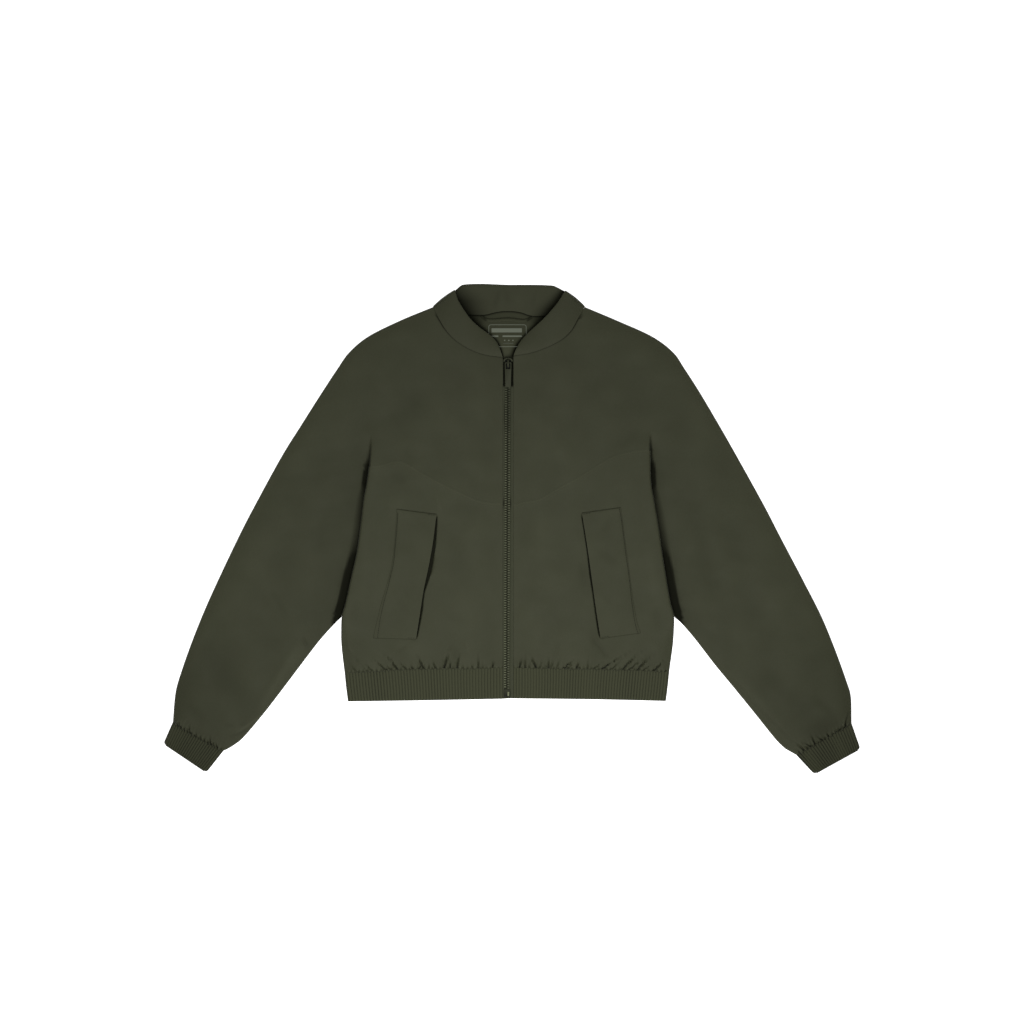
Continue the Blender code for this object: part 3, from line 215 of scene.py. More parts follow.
RIDGE_PLACE = 2.6  # how many half widths from the crease they stand
CREASE_DEEP = 3.4  # depth of a crease whose painted shade is full
CREASE_LIGHT = 0.11  # how strong the painted highlight on its ridges is
CREASE_END = 2.6  # how suddenly a crease ends
CREASE_CURL = 0.012  # how much a leaning crease bends
SEAM_DIP = 0.8  # how much the cloth dips at a gathered seam
SEAM_DIP_REACH = 0.9
RIPPLE = 6.2  # spacing of the small ripples between the gathers
RIPPLE_WARP = (0.45, 19)  # how far their spacing varies, and over what length
RIPPLE_RISE = 0.7
RIPPLE_REACHES = (5, 4.2, 8.5)  # how far up their height, painted shade and painted highlight go
RIPPLE_PAINTED_SHADING = (0.42, 0.13)  # painted shade in their valleys and painted highlight on their ridges
SCALLOP = 1.9  # how far the cloth between two creases hangs over the band
SCALLOP_RIPPLE = 0.4
PINCH_WIDTH = 1.8  # half width over which a crease draws it up
PINCH_DEPTH = 2.6  # depth of a crease that draws it up wholly
HEM_ROWS = (  # distance from the seam, spacing
    (-0.6, 0.9), (0.3, 0.9), (1.2, 0.9), (2.2, 0.95), (3.3, 1.0), (4.6, 1.1), (6.1, 1.2), (7.8, 1.3),
    (9.8, 1.5),
    (12.2, 1.7), (15.0, 1.9), (18.4, 2.2),
)

# Cuffs: corners as (out, up), from the seam's outer end round to the wrist's outer end
Cuff = namedtuple("Cuff", "seam_out seam_in wrist_in wrist_out bow")
CUFFS = {
    "left": Cuff((486, -280), (412.5, -321.5), (437.5, -353.5), (500, -311.5), 2.0),
    "right": Cuff((498, -282), (417.5, -327.5), (444, -356), (511, -319), 0.2),
}
CUFF_RIBS = 21
CUFF_GATHERS = {  # place along the seam, reach, lean and depth
    "left": (
        (0.05, 4, -0.4, 1.4), (0.11, 6, -0.9, 2.0), (0.16, 6, -0.9, 2.4), (0.24, 5, -0.6, 1.8),
        (0.3, 5, -0.6, 1.8),
        (0.37, 8, -0.8, 3.3), (0.44, 4, -0.5, 1.6), (0.5, 5, -0.9, 2.2), (0.57, 5, -0.6, 2.4),
        (0.64, 5, -0.5, 1.8),
        (0.7, 5, -0.7, 1.6), (0.77, 8, -0.7, 3.4), (0.83, 5, -0.8, 1.8), (0.89, 6, -0.9, 2.4),
        (0.95, 4, -0.6, 1.6),
    ),
    "right": (
        (0.07, 5, -1.2, 2.4), (0.13, 9, -0.7, 3.2), (0.23, 5, -1.0, 3.2), (0.28, 4, -1.3, 2.2),
        (0.33, 4, -1.3, 2.4), (0.41, 5, 0.1, 2.6), (0.46, 4, 0.2, 1.4), (0.52, 6, 0.45, 3.2),
        (0.59, 4, 0.2, 1.8),
        (0.66, 12, -0.1, 3.1), (0.72, 11, 0.6, 2.4), (0.78, 6, 0.4, 1.6), (0.85, 12, 0.25, 2.8),
        (0.93, 6, 0.2, 1.8),
    ),
}

# Ribbed bands
RIB_RISE = 0.4
RIB_VARIES = 0.3  # how uneven the painted shade in the valleys between the ribs is
HEM_RIB_DARK = (  # painted shade in the valleys, at each x
    (-236, 0.3), (-205, 0.42), (-172, 0.5), (-150, 0.42), (-120, 0.35), (0, 0.31), (150, 0.36),
    (190, 0.44), (225, 0.36),
)
CUFF_RIB_DARK = {  # and at each share of the way along a cuff's seam
    "left": ((0, 0.15), (0.25, 0.22), (0.35, 0.5), (0.7, 0.64), (0.95, 0.5)),
    "right": (
        (0, 0.2), (0.08, 0.25), (0.11, 0.6), (0.26, 0.6), (0.3, 0.28), (0.38, 0.28), (0.42, 0.6),
        (0.72, 0.6),
        (0.78, 0.22), (0.88, 0.22), (0.92, 0.8), (1, 0.8),
    ),
}
CUFF_CORNER = 4.0  # radius of the cuffs' corners at the wrist
RIB_POINTS = 8  # points across one rib
BAND_ROWS = 9
HEM_RIBS = {"left": 52, "right": 54}
HEM_HEIGHT = 5.0
HEM_TAPER = 5.0
CUFF_HEIGHT = 4.4
BAND_TURNS = 10

# Welts: points of the stitched edge and of the edge at the pocket's opening, as out and up
Welt = namedtuple("Welt", "sewn_out sewn_up open_out open_up")
WELTS = {
    "left": listed(
        Welt,
        (161.5, 29, 103.8, 21.4), (163.3, -10, 108.1, -14), (168.3, -52, 114.2, -50),
        (176.4, -84, 122, -87), (185.3, -115, 126.6, -116), (195.5, -158.3, 133.4, -160),
    ),
    "right": listed(
        Welt,
        (163.2, 31.3, 106.8, 23.2), (168.6, -12, 112.6, -12), (174.2, -52, 118.5, -52),
        (180.5, -100, 125, -100), (186, -132, 129.7, -132), (192, -150.8, 134, -158.9),
    ),
}
STITCHED = {  # points of the stitching beside the sewn edge, as out and up
    "left": (
        (159.6, 23.2), (161.1, 1.5), (163.3, -24), (166, -51), (169.6, -65.6), (173.3, -82),
        (179.6, -105.5), (184.2, -125.4), (187.8, -147), (189, -158),
    ),
    "right": (
        (161.2, 29.6), (163, 19.6), (165.7, 1.5), (168.4, -20), (171.1, -42), (173.9, -60),
        (176.6, -82), (178.4, -100), (181.1, -120), (183.9, -136), (188.4, -152.6),
    ),
}
WELT_CLOTH = 1.3
Mouth = namedtuple("Mouth", "up width lift")
MOUTHS = {  # the pocket's opening: the width of the sunk gap beside the welt, which also gets painted shadow, and how far the welt lifts
    "left": listed(
        Mouth,
        (20, 0.5, 0.4), (-2, 2.0, 0.8), (-24, 3.4, 1.4), (-45, 4.2, 1.8), (-62, 4.4, 1.8),
        (-78, 2.6, 1.4), (-91, 0.6, 0.9), (-104, 0.8, 0.9), (-115, 1.7, 1.0), (-133, 1.3, 0.8),
        (-147, 0.8, 0.6), (-158, 0.0, 0.3),
    ),
    "right": listed(
        Mouth,
        (21, 0.0, 0.4), (-10, 0.1, 0.6), (-40, 0.4, 0.8), (-66, 1.4, 1.0), (-90, 0.5, 0.9),
        (-113, 0.6, 0.9), (-150, 0.9, 0.8), (-158, 0.0, 0.3),
    ),
}
MOUTH_DEPTH = 3.6
MOUTH_SPREAD = 2.0  # how far the front takes to come up beside the gap

# Zip: half widths, places up, and heights
ZIP_EDGE = 7.8
ZIP_TOP = 247.0
ZIP_BOTTOM = -244.0
CHAIN_TOP = 229.0
BOX_TOP = ZIP_BOTTOM + 12
ZIP_SHIFT = 0.5  # how far the closed zip lies to the left of the middle
ZIP_STRAY = 1.6  # and how much farther at the hem
PULL_UP = 240.5
PULL_HIGH = 8.6


# --- Curves -----------------------------------------------------------------------------------


def smooth(value):
    value = np.clip(value, 0.0, 1.0)
    return value * value * (3 - 2 * value)


def bell(value, width=1.0):
    """1 at 0, falling off to both sides over about the width."""
    return np.exp(-((value / width) ** 2))


Line = namedtuple("Line", "amount at reach")  # a line along a seam: how strong, how far off, how wide


def drawn(lines, away):
    """What the lines along a seam come to at points this far from it."""
    return sum(line.amount * bell(away - line.at, line.reach) for line in lines)


def curve(points, step):
    """Points about `step` apart on a smooth curve through the given ones."""
    p = np.array(points, float)
    p = np.vstack([2 * p[0] - p[1], p, 2 * p[-1] - p[-2]])
    fine = []
    for a, b, c, d in zip(p, p[1:], p[2:], p[3:]):
        bend, twist = 2 * a - 5 * b + 4 * c - d, 3 * b - a - 3 * c + d
        fine += [0.5 * (2 * b + (c - a) * t + bend * t**2 + twist * t**3) for t in np.arange(0, 1, 0.05)]
    fine = np.vstack([fine, p[-2]])
    return spaced(fine, step)


def spaced(line, step):
    """The line cut again into equal lengths of about `step`."""
    length = np.linalg.norm(np.diff(np.array(line, float), axis=0), axis=1).sum()
    return divided(line, max(1, round(length / step)))


def divided(line, count):
    """The line cut again into `count` equal lengths."""
    line = np.array(line, float)
    along = np.concatenate([[0], np.cumsum(np.linalg.norm(np.diff(line, axis=0), axis=1))])
    at = np.linspace(0, along[-1], count + 1)
    return np.column_stack([np.interp(at, along, line[:, k]) for k in range(line.shape[1])])


def out_line(table, side, step=OUTLINE_STEP):
    """The curve of a table of At rows, as (out, up)."""
    return curve([(getattr(row, side), row.up) for row in table], step)


def seam_line(table, side, step=OUTLINE_STEP):
    """The curve of a table of Seam rows, as (out, up)."""
    return curve([(row.out, getattr(row, side)) for row in table], step)


def inset(line, distance):
    """The line moved to its left, looking along it."""
    along = np.gradient(line, axis=0)
    along /= np.linalg.norm(along, axis=1)[:, None]
    return line + distance * np.column_stack([-along[:, 1], along[:, 0]])


def chunks(points, size=3000):
    return [points[k : k + size] for k in range(0, len(points), size)]


def distance_to(points, line):
    """Each point's distance to a line of short straight runs."""
    a, b = line[:-1], line[1:]
    run = b - a
    found = []
    for part in chunks(points):
        away = part[:, None] - a[None]
        share = np.clip((away * run).sum(2) / (run * run).sum(1), 0, 1)
        found.append(np.linalg.norm(away - share[..., None] * run, axis=2).min(axis=1))
    return np.concatenate(found)


def table_value(table, name, up):
    """A column of a table, read at any height up by interpolation."""
    rows = sorted(table, key=lambda row: row.up)
    return np.interp(up, [row.up for row in rows], [getattr(row, name) for row in rows])


# --- Heights of the fronts ----------------------------------------------------------------------


class Side:
    """The lines of one side of the jacket and the heights that follow from them."""

    def __init__(self, name):
        self.name, self.sign = name, SIDES[name]
        self.overarm = out_line(OVERARM, name)
        self.underarm = out_line(UNDERARM, name)
        self.ridge = out_line(RIDGE, name, 3.0)
        self.yoke = seam_line(YOKE, name)
        self.neck = seam_line(NECK, name, 2.5)
        cuff = CUFFS[name]
        self.neck_point = np.array([getattr(OVERARM[0], name), OVERARM[0].up], float)
        self.overarm[-1] = cuff.seam_out
        self.underarm[-1] = cuff.seam_in
        below = self.ridge[self.ridge[:, 1] <= UNDERARM[0].up]
        self.edges = (self.overarm, self.underarm, below)
        self.seam_end_out = self.ridge_out(self.yoke[-1, 1]) - ROLL
        self.yoke = spaced(self.yoke[self.yoke[:, 0] < self.seam_end_out], 3.0)
        self.seam_end_up = self.yoke[-1, 1]
        self.yoke = np.vstack([self.yoke[:-1], [self.seam_end_out, self.seam_end_up]])
        self.hem = seam_line(HEM, name)
        self.hem_edge = seam_line(HEM_EDGE, name)
        self.hem_end = float(self.ridge_out(getattr(HEM[-1], name)))
        self.opening = curve([(row.open_out, row.open_up) for row in WELTS[name]], WELT_STEP)
        self.sewn = curve([(row.sewn_out, row.sewn_up) for row in WELTS[name]], WELT_STEP)

    def ridge_out(self, up):
        return np.interp(-np.asarray(up, float), -self.ridge[:, 1], self.ridge[:, 0])

    def yoke_up(self, out):
        return np.interp(out, self.yoke[:, 0], self.yoke[:, 1])

    def hem_up(self, out):
        return np.interp(out, self.hem[:, 0], self.hem[:, 1])

    def hem_edge_up(self, out):
        return np.interp(out, self.hem_edge[:, 0], self.hem_edge[:, 1])

    def opening_out(self, up):
        return np.interp(-np.asarray(up, float), -self.opening[:, 1], self.opening[:, 0])

    def hidden(self, up):
        """Depth of the cloth folded under the body at this height."""
        return TUCK_LEAST + (TUCK_HIDDEN - TUCK_LEAST) * smooth((up - TUCK_END) / TUCK_DEEPENS)

    def tuck_share(self, up):
        """0 where there is no tuck, 1 where it is whole."""
        top = smooth((TUCK_TOP - up) / (TUCK_TOP - self.seam_end_up))
        return top * smooth((up - SIDE_LEVEL) / (TUCK_END - SIDE_LEVEL))

    def loft(self, points):
        edge = np.min([distance_to(points, line) for line in self.edges], axis=0)
        level = EDGE_LEVEL + LOFT * (1 - np.exp(-edge / LOFT_REACH))
        hem = 1 - smooth((points[:, 1] - self.hem_up(points[:, 0])) / HEM_SPREAD)
        hem *= points[:, 0] < self.hem_end + ROLL
        level += hem * (np.minimum(level, HEM_LEVEL) - level)
        cuff = 1 - smooth(cuff_place(self, points)[1] / CUFF_SPREAD)
        return level + cuff * (np.minimum(level, CUFF_LEVEL) - level)

    def body_level(self, points):
        """Height of the inner face on the body's side of the tuck."""
        level = self.loft(points)
        inside = self.ridge_out(points[:, 1]) - points[:, 0]
        near = np.exp(-np.maximum(inside - TUCK_FLAT, 0) / TUCK_SPREAD)
        level += self.tuck_share(points[:, 1]) * near * (RIDGE_LEVEL - level)
        zip_share = 1 - smooth((points[:, 0] - ZIP_EDGE) / ZIP_SPREAD)
        return level + zip_share * (ZIP_LEVEL - level)

    def groove(self, points):
        """How far out of the tuck's groove a point of the sleeve is, and the share of the tuck there."""
        beyond = points[:, 0] - self.ridge_out(points[:, 1])
        width = table_value(GROOVE, "width", points[:, 1])
        share = smooth((TUCK_TOP - points[:, 1]) / (TUCK_TOP - self.seam_end_up))
        return beyond - width, share

    def sleeve_level(self, points):
        """Height of the inner face on the sleeve's side of the tuck."""
        level = self.loft(points)
        beyond, share = self.groove(points)
        spread = table_value(GROOVE, "spread", points[:, 1])
        return level + share * np.exp(-np.maximum(beyond, 0) / spread) * (EDGE_LEVEL - level)

    def upper_level(self, points):
        """The upper front: the body's height, a step at the tuck, and then the sleeve's."""
        beyond = points[:, 0] - self.ridge_out(points[:, 1])
        step = smooth((beyond - TUCK_START) / TUCK_STEP)
        step[points[:, 1] < self.yoke_up(points[:, 0])] = 1.0
        return (1 - step) * self.body_level(points) + step * self.sleeve_level(points)


def cuff_axes(side):
    """The cuff seam's outer end, its direction inwards, its length, and the way up the sleeve."""
    cuff = CUFFS[side.name]
    start, end = np.array(cuff.seam_out, float), np.array(cuff.seam_in, float)
    length = np.linalg.norm(end - start)
    across = (end - start) / length
    return start, across, length, np.array([across[1], -across[0]])


def cuff_place(side, points):
    """Each point's place along the cuff seam and its height above it, up the sleeve."""
    start, across, length, up = cuff_axes(side)
    along, rise = (points - start) @ across, (points - start) @ up
    return along, rise + CUFFS[side.name].bow * np.sin(math.pi * np.clip(along / length, 0, 1))


def cuff_seam(side, step=SEAM_STEP):
    """The cuff seam from its outer to its inner end, bowed a little towards the wrist."""
    start, across, length, up = cuff_axes(side)
    at = np.linspace(0, length, round(length / step) + 1)
    bow = CUFFS[side.name].bow * np.sin(math.pi * at / length)
    return start + at[:, None] * across - bow[:, None] * up


def ripple(along):
    """Small ripples along a gathered seam, from -1 to 1."""
    return np.cos(2 * math.pi * (along / RIPPLE + RIPPLE_WARP[0] * np.sin(along / RIPPLE_WARP[1])))


def scallop(along, rows):
    """How far over the band the cloth hangs at each place along a gathered seam."""
    pinch = np.zeros(len(along))
    for place, _, _, depth in rows:
        pinch = np.maximum(pinch, smooth(depth / PINCH_DEPTH) * bell(along - place, PINCH_WIDTH))
    return np.maximum(SCALLOP * (1 - pinch) ** 0.7 + SCALLOP_RIPPLE * ripple(along), 0)


def gathered(along, rise, rows):
    """Height that gathers add above a seam, and their painted shade, less the painted highlight on their
    ridges.
    """
    rise = np.maximum(rise + scallop(along, rows), 0)
    puff = PUFF_RISE * (rise / PUFF_PEAK) * np.exp(1 - rise / PUFF_PEAK) * bell(rise, PUFF_REACH)
    height = puff - SEAM_DIP * np.exp(-rise / SEAM_DIP_REACH)
    wave = ripple(along)
    height += RIPPLE_RISE * wave * bell(rise, RIPPLE_REACHES[0])
    pit = RIPPLE_PAINTED_SHADING[0] * np.maximum(-wave, 0) ** 3 * bell(rise, RIPPLE_REACHES[1])
    light = RIPPLE_PAINTED_SHADING[1] * np.maximum(wave, 0) * bell(rise, RIPPLE_REACHES[2])
    for place, reach, lean, depth in rows:
        fade = np.exp(-((rise / reach) ** CREASE_END))
        bend = lean * rise + CREASE_CURL * lean * rise**2
        offset = (along - place - bend) / (CREASE_NARROW + CREASE_WIDEN * rise)
        beside = bell(np.abs(offset) - RIDGE_PLACE)
        height += depth * fade * (CREASE_RIDGE * beside - bell(offset))
        core = smooth((depth - 1.0) / 2.4) * bell(rise, 2.4 * depth) * bell(offset)
        full = smooth(depth / CREASE_DEEP) * fade
        line = CREASE_LINE * full * bell(offset)
        pit = np.maximum(pit, np.maximum(core, line))
        light = np.maximum(light, CREASE_LIGHT * full * beside)
    return height, pit - light * (1 - pit)


def hem_gathers(side, points):
    rise = points[:, 1] - side.hem_up(points[:, 0])
    return gathered(points[:, 0], rise, HEM_GATHERS[side.name])


def cuff_creases(side):
    length = cuff_axes(side)[2]
    return [(place * length, *row) for place, *row in CUFF_GATHERS[side.name]]


def cuff_gathers(side, points):
    along, rise = cuff_place(side, points)
    return gathered(along, rise, cuff_creases(side))


def folds(points, table):
    """Height that soft folds add: round ridges or troughs that fade towards their ends."""
    total = np.zeros(len(points))
    for out, up, end_out, end_up, width, height in table:
        start, run = np.array((out, up), float), np.array((end_out - out, end_up - up), float)
        length = np.linalg.norm(run)
        run = run / length
        along = (points - start) @ run / length
        off = (points - start) @ np.array([-run[1], run[0]])
        fade = np.where((along > 0) & (along < 1), np.sin(math.pi * np.clip(along, 0, 1)) ** 0.8, 0.0)
        total += height * fade * bell(off, width)
    return total


def fold_rows(table):
    """Rows of mesh points along the folds that are narrower than the lattice can show."""
    rows = [np.empty((0, 2))]
    for out, up, end_out, end_up, width, _ in table:
        if width < FRONT_STEP:
            line = spaced([(out, up), (end_out, end_up)], max(1.4, 0.8 * width))
            rows += [inset(line, share * width) for share in (-1.5, -0.75, 0, 0.75, 1.5)]
    return np.vstack(rows)


# Small unevenness of the cloth: direction, wavelength, phase and height of each wave
Wave = namedtuple("Wave", "turn length phase height")
WAVES = listed(
    Wave,
    (12, 61, 0.3, 0.22), (57, 83, 1.9, 0.26), (103, 47, 4.4, 0.14), (149, 71, 2.7, 0.2),
    (-34, 38, 5.2, 0.09), (81, 29, 3.6, 0.06),
)


WANDER = ((9, 57), (7, 43))  # how far the waves wander, and over what length, by up and by out


def unevenness(points, sign):
    total = np.zeros(len(points))
    (far_up, length_up), (far_out, length_out) = WANDER
    warp = far_up * np.sin(points[:, 1] / length_up + sign)
    warp = warp + far_out * np.sin(points[:, 0] / length_out - sign)
    for wave in WAVES:
        turn = math.radians(wave.turn)
        along = points[:, 0] * math.cos(turn) + points[:, 1] * math.sin(turn) + warp
        total += wave.height * np.sin(2 * math.pi * along / wave.length + wave.phase + 2 * sign)
    return total


# --- Meshes -------------------------------------------------------------------------------------


def mesh_object(name, node, points, faces, finish, tone=None, body="jacket", sharp=50):
    """One closed piece, from points in millimetres, that shows a node of the CAD."""
    mesh = bpy.data.meshes.new(name)
    points = np.array(points, float)
    mesh.from_pydata((points / 1000).tolist(), [], [list(map(int, f)) for f in faces])
    tones = mesh.attributes.new("tone", "FLOAT", "POINT")
    tones.data.foreach_set("value", np.ones(len(points)) if tone is None else np.array(tone, float))
    build = bmesh.new()
    build.from_mesh(mesh)
    bmesh.ops.recalc_face_normals(build, faces=build.faces)
    if build.calc_volume(signed=True) < 0:
        bmesh.ops.reverse_faces(build, faces=build.faces)
    build.to_mesh(mesh)
    build.free()
    mesh.shade_smooth()
    if sharp:
        mesh.set_sharp_from_angle(angle=math.radians(sharp))
    mesh.materials.append(finish.material)
    made = bpy.data.objects.new(name, mesh)
    bpy.context.scene.collection.objects.link(made)
    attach(made, body)
    if node:
        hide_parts(node)
    return made


def inside(points, outline):
    """Which points lie within a closed outline."""
    a, b = outline, np.roll(outline, -1, axis=0)
    found = []
    for part in chunks(points):
        x, y = part[:, :1], part[:, 1:]
        crosses = (a[:, 1] > y) != (b[:, 1] > y)
        with np.errstate(divide="ignore", invalid="ignore"):
            at = a[:, 0] + (y - a[:, 1]) * (b[:, 0] - a[:, 0]) / (b[:, 1] - a[:, 1])
        found.append((crosses & (x < at)).sum(axis=1) % 2 == 1)
    return np.concatenate(found)


def lattice(outline, step, clear=0.5):
    """Points `step` apart in a triangular pattern inside the outline, clear of its edge."""
    low, high = outline.min(axis=0), outline.max(axis=0)
    points = []
    for k, y in enumerate(np.arange(low[1] + step / 3, high[1], step * math.sqrt(0.75))):
        first = low[0] + step * (0.2 + 0.5 * (k % 2))
        points += [(x, y) for x in np.arange(first, high[0], step)]
    return keep_clear(np.array(points), outline, step * clear)


def keep_clear(points, outline, clear):
    points = points[inside(points, outline)]
    return points[distance_to(points, np.vstack([outline, outline[:1]])) > clear]


def merge_sets(kept, added, clear):
    """The kept points with those of the added ones that lie farther than `clear` from them."""
    near = []
    for part in chunks(added, 400):
        near.append(np.linalg.norm(part[:, None] - kept[None], axis=2).min(axis=1))
    return np.vstack([kept, added[np.concatenate(near) > clear]])


def triangles(outline, points):
    """Triangles over the outline's points followed by the given ones."""
    every = np.vstack([outline, points])
    corners = [Vector(p) for p in every.tolist()]
    _, _, faces, origin, _, _ = delaunay_2d_cdt(corners, [], [list(range(len(outline)))], 1, 1e-6)
    return [[origin[k][0] for k in face] for face in faces]


class Wall:
    """A closed cloth wall over a flat outline, with rolled edges where it is folded."""

    def __init__(self, outline, points, level, wall, relief=None, lowest=0.0):
        self.outline = np.array(outline, float)
        flat = np.vstack([self.outline, points])
        self.low = np.maximum(level(flat) + (relief(flat) if relief else 0.0), lowest)
        self.high = self.low + wall
        faces = triangles(self.outline, points)
        self.first_inner = len(flat)
        self.points = [(*p, z) for p, z in zip(flat, self.high)]
        self.points += [(*p, z) for p, z in zip(flat, self.low)]
        self.faces = [tuple(f) for f in faces]
        self.faces += [tuple(k + self.first_inner for k in f) for f in faces]
        self.count = len(self.outline)
        self.rolled = set()

    def roll(self, first, last, section):
        """Rolls the outline's points first..last: section(k) gives the outer and the inner points."""
        columns = []
        for k in range(first, last + 1):
            outer, inner = section(k)
            column = []
            for start, points in ((k, outer), (self.first_inner + k, inner)):
                column.append([start] + list(range(len(self.points), len(self.points) + len(points))))
                self.points += [tuple(p) for p in points]
            columns.append(column)
        for (outer_a, inner_a), (outer_b, inner_b) in zip(columns, columns[1:]):
            self.faces += strip(outer_a, outer_b) + strip(inner_a, inner_b)
            self.faces.append((outer_a[-1], outer_b[-1], inner_b[-1], inner_a[-1]))
        for outer, inner in (columns[0], columns[-1]):
            self.faces += strip(outer, inner)
        self.rolled |= set(range(first, last))

    def finish(self, name, node, side, finish, tone=None):
        """Closes the cut edges and makes the object; side -1 mirrors it to the left."""
        for k in range(self.count):
            if k not in self.rolled:
                j = (k + 1) % self.count
                self.faces.append((k, j, self.first_inner + j, self.first_inner + k))
        points = np.array(self.points)
        tones = tone(points) if tone else None
        return mesh_object(name, node, points * (side, 1, 1), self.faces, finish, tones)


def strip(a, b):
    """Faces between two equally long rows of points."""
    return [(a[k], a[k + 1], b[k + 1], b[k]) for k in range(len(a) - 1)]


def fold_section(wall, silhouette):
    """The section of a plain folded edge, which rolls down to the surface."""

    def section(k):
        at = wall.outline[k]
        high, low = wall.high[k], wall.low[k]
        reach = silhouette[k] - at
        ways = []
        for z, share in ((high, 1.0), (low, 1 - CLOTH / ROLL)):
            points = []
            for step in range(1, FOLD_STEPS + 1):
                turn = math.pi / 2 * step / FOLD_STEPS
                x, y = at + reach * share * math.sin(turn)
                points.append((x, y, FOOT + (z - FOOT) * math.cos(turn)))
            ways.append(points)
        return ways

    return section


def side_section(wall, side):
    """The section at the side of the body: a roll to the surface, or a tuck folded under it."""

    def section(k):
        out, up = wall.outline[k]
        high, low = wall.high[k], wall.low[k]
        share = float(smooth((up - SIDE_START) / (TUCK_END - SIDE_START)))
        foot = (1 - share) * FOOT + share * (EDGE_LEVEL + CLOTH + GAP)
        turn = math.pi / 2 * (1 + share * share)
        tail = (1 - share) * SIDE_TAIL + share * float(side.hidden(up))
        drop = (1 - share) * tail
        middle = (foot + drop - high * math.cos(turn)) / (1 - math.cos(turn))
        ways = []
        for radius, rise in ((ROLL, high - middle), (ROLL - CLOTH, low - middle)):
            points = []
            for step in range(1, FOLD_STEPS + 1):
                at = turn * step / FOLD_STEPS
                points.append((out + radius * math.sin(at), up, middle + rise * math.cos(at)))
            end = points[-1]
            points.append((end[0] + tail * math.cos(turn), up, end[2] - drop * math.sin(turn)))
            ways.append(points)
        return ways

    return section


def stitch(a, a_at, b, b_at):
    """Triangles between two rows of points, each with its places along the way."""
    faces, i, j = [], 0, 0
    while i < len(a) - 1 or j < len(b) - 1:
        if j == len(b) - 1 or (i < len(a) - 1 and a_at[i + 1] <= b_at[j + 1]):
            faces.append((a[i], a[i + 1], b[j]))
            i += 1
        else:
            faces.append((a[i], b[j + 1], b[j]))
            j += 1
    return faces


def band(name, node, rings, places, closed, finish, tones=None):
    """A closed wall from rows of outer and of inner points, which may differ in length."""
    points, rows = [], []
    for face in FACES:
        kept = []
        for row in rings[face]:
            kept.append(list(range(len(points), len(points) + len(row))))
            points += [tuple(p) for p in row]
            if closed:
                kept[-1].append(kept[-1][0])
        rows.append(kept)
    faces = []
    for kept in rows:
        for a, b in zip(kept, kept[1:]):
            faces += strip(a, b)
    outer_at, inner_at = [list(at) + [1.0] * closed for at in places]
    for end in (0, -1):
        faces += stitch(rows[0][end], outer_at, rows[1][end], inner_at)
        if not closed:
            faces += strip([row[end] for row in rows[0]], [row[end] for row in rows[1]])
    return mesh_object(name, node, points, faces, finish, tones and tones(np.array(points)))


# --- Finishes -----------------------------------------------------------------------------------

Finish = namedtuple("Finish", "material slot")

SHELL_COLOUR = (0.0371, 0.0395, 0.0204)
INSIDE_COLOUR = (0.0350, 0.0378, 0.0193)
RIB_COLOUR = (0.0400, 0.0428, 0.0225)
TAPE_COLOUR = (0.0350, 0.0380, 0.0205)
TEETH_COLOUR = (0.0420, 0.0450, 0.0270)
METAL_COLOUR = (0.0360, 0.0385, 0.0225)
THREAD_COLOUR = (0.0150, 0.0165, 0.0085)
PRINT_COLOUR = (0.150, 0.165, 0.125)


class Nodes:
    """Short names for building a material's node tree."""

    def __init__(self, name):
        self.material = bpy.data.materials.new(name)
        self.material.use_nodes = True
        self.tree = self.material.node_tree
        self.shader = self.tree.nodes["Principled BSDF"]
        self.place = self.tree.nodes.new("ShaderNodeTexCoord").outputs["Object"]

    def add(self, kind, values=(), **settings):
        """A node with its settings, and its inputs set by name: a link, a number or a colour."""
        node = self.tree.nodes.new(kind)
        for name, value in settings.items():
            setattr(node, name, value)
        for key, value in dict(values).items():
            self.put(node.inputs[key], value)
        return node

    def put(self, socket, value):
        if isinstance(value, bpy.types.NodeSocket):
            self.tree.links.new(value, socket)
        else:
            socket.default_value = value

    def noise(self, scale, detail=2.0, rough=0.5):
        values = {"Vector": self.place, "Scale": scale, "Detail": detail, "Roughness": rough}
        return self.add("ShaderNodeTexNoise", values).outputs["Fac"]

    def spread(self, value, low, high):
        """A value from 0 to 1 moved to the range low to high."""
        values = {"Value": value, "To Min": low, "To Max": high}
        return self.add("ShaderNodeMapRange", values).outputs["Result"]

    def math(self, operation, a, b):
        return self.add("ShaderNodeMath", {0: a, 1: b}, operation=operation).outputs[0]

    def waves(self, direction, scale):
        values = {"Vector": self.place, "Scale": scale, "Distortion": 0.0}
        return self.add("ShaderNodeTexWave", values, bands_direction=direction).outputs["Fac"]

    def tint(self, colour, amount):
        """The colour times an amount that varies over the surface."""
        values = {0: 1.0, 6: (*colour, 1.0), 7: amount}
        return self.add("ShaderNodeMix", values, data_type="RGBA", blend_type="MULTIPLY").outputs[2]

    def tone(self):
        """The darkness and lightness that mesh_object() keeps on the points: mostly painted light and shade,
        such as painted shade in creases, painted shadows and painted highlights.
        """
        return self.add("ShaderNodeAttribute", attribute_name="tone").outputs["Fac"]

    def bump(self, height, distance, strength, below=None):
        values = {"Height": height, "Distance": distance, "Strength": strength}
        if below is not None:
            values["Normal"] = below
        return self.add("ShaderNodeBump", values).outputs["Normal"]

    def finish(self, slot, **inputs):
        for name, value in inputs.items():
            self.put(self.shader.inputs[name.replace("_", " ")], value)
        return Finish(self.material, slot)


THREAD_SCALE = 620.0  # wave scale of the weave: one thread every 0.5 mm
RIB_STITCH_SCALE = 300.0
MOTTLE = 0.035  # how uneven the cloth's tone is
GLOSS_VARIES = 0.05
Grain = namedtuple("Grain", "noise low high")  # a noise's scale, detail and roughness, and its range of tone


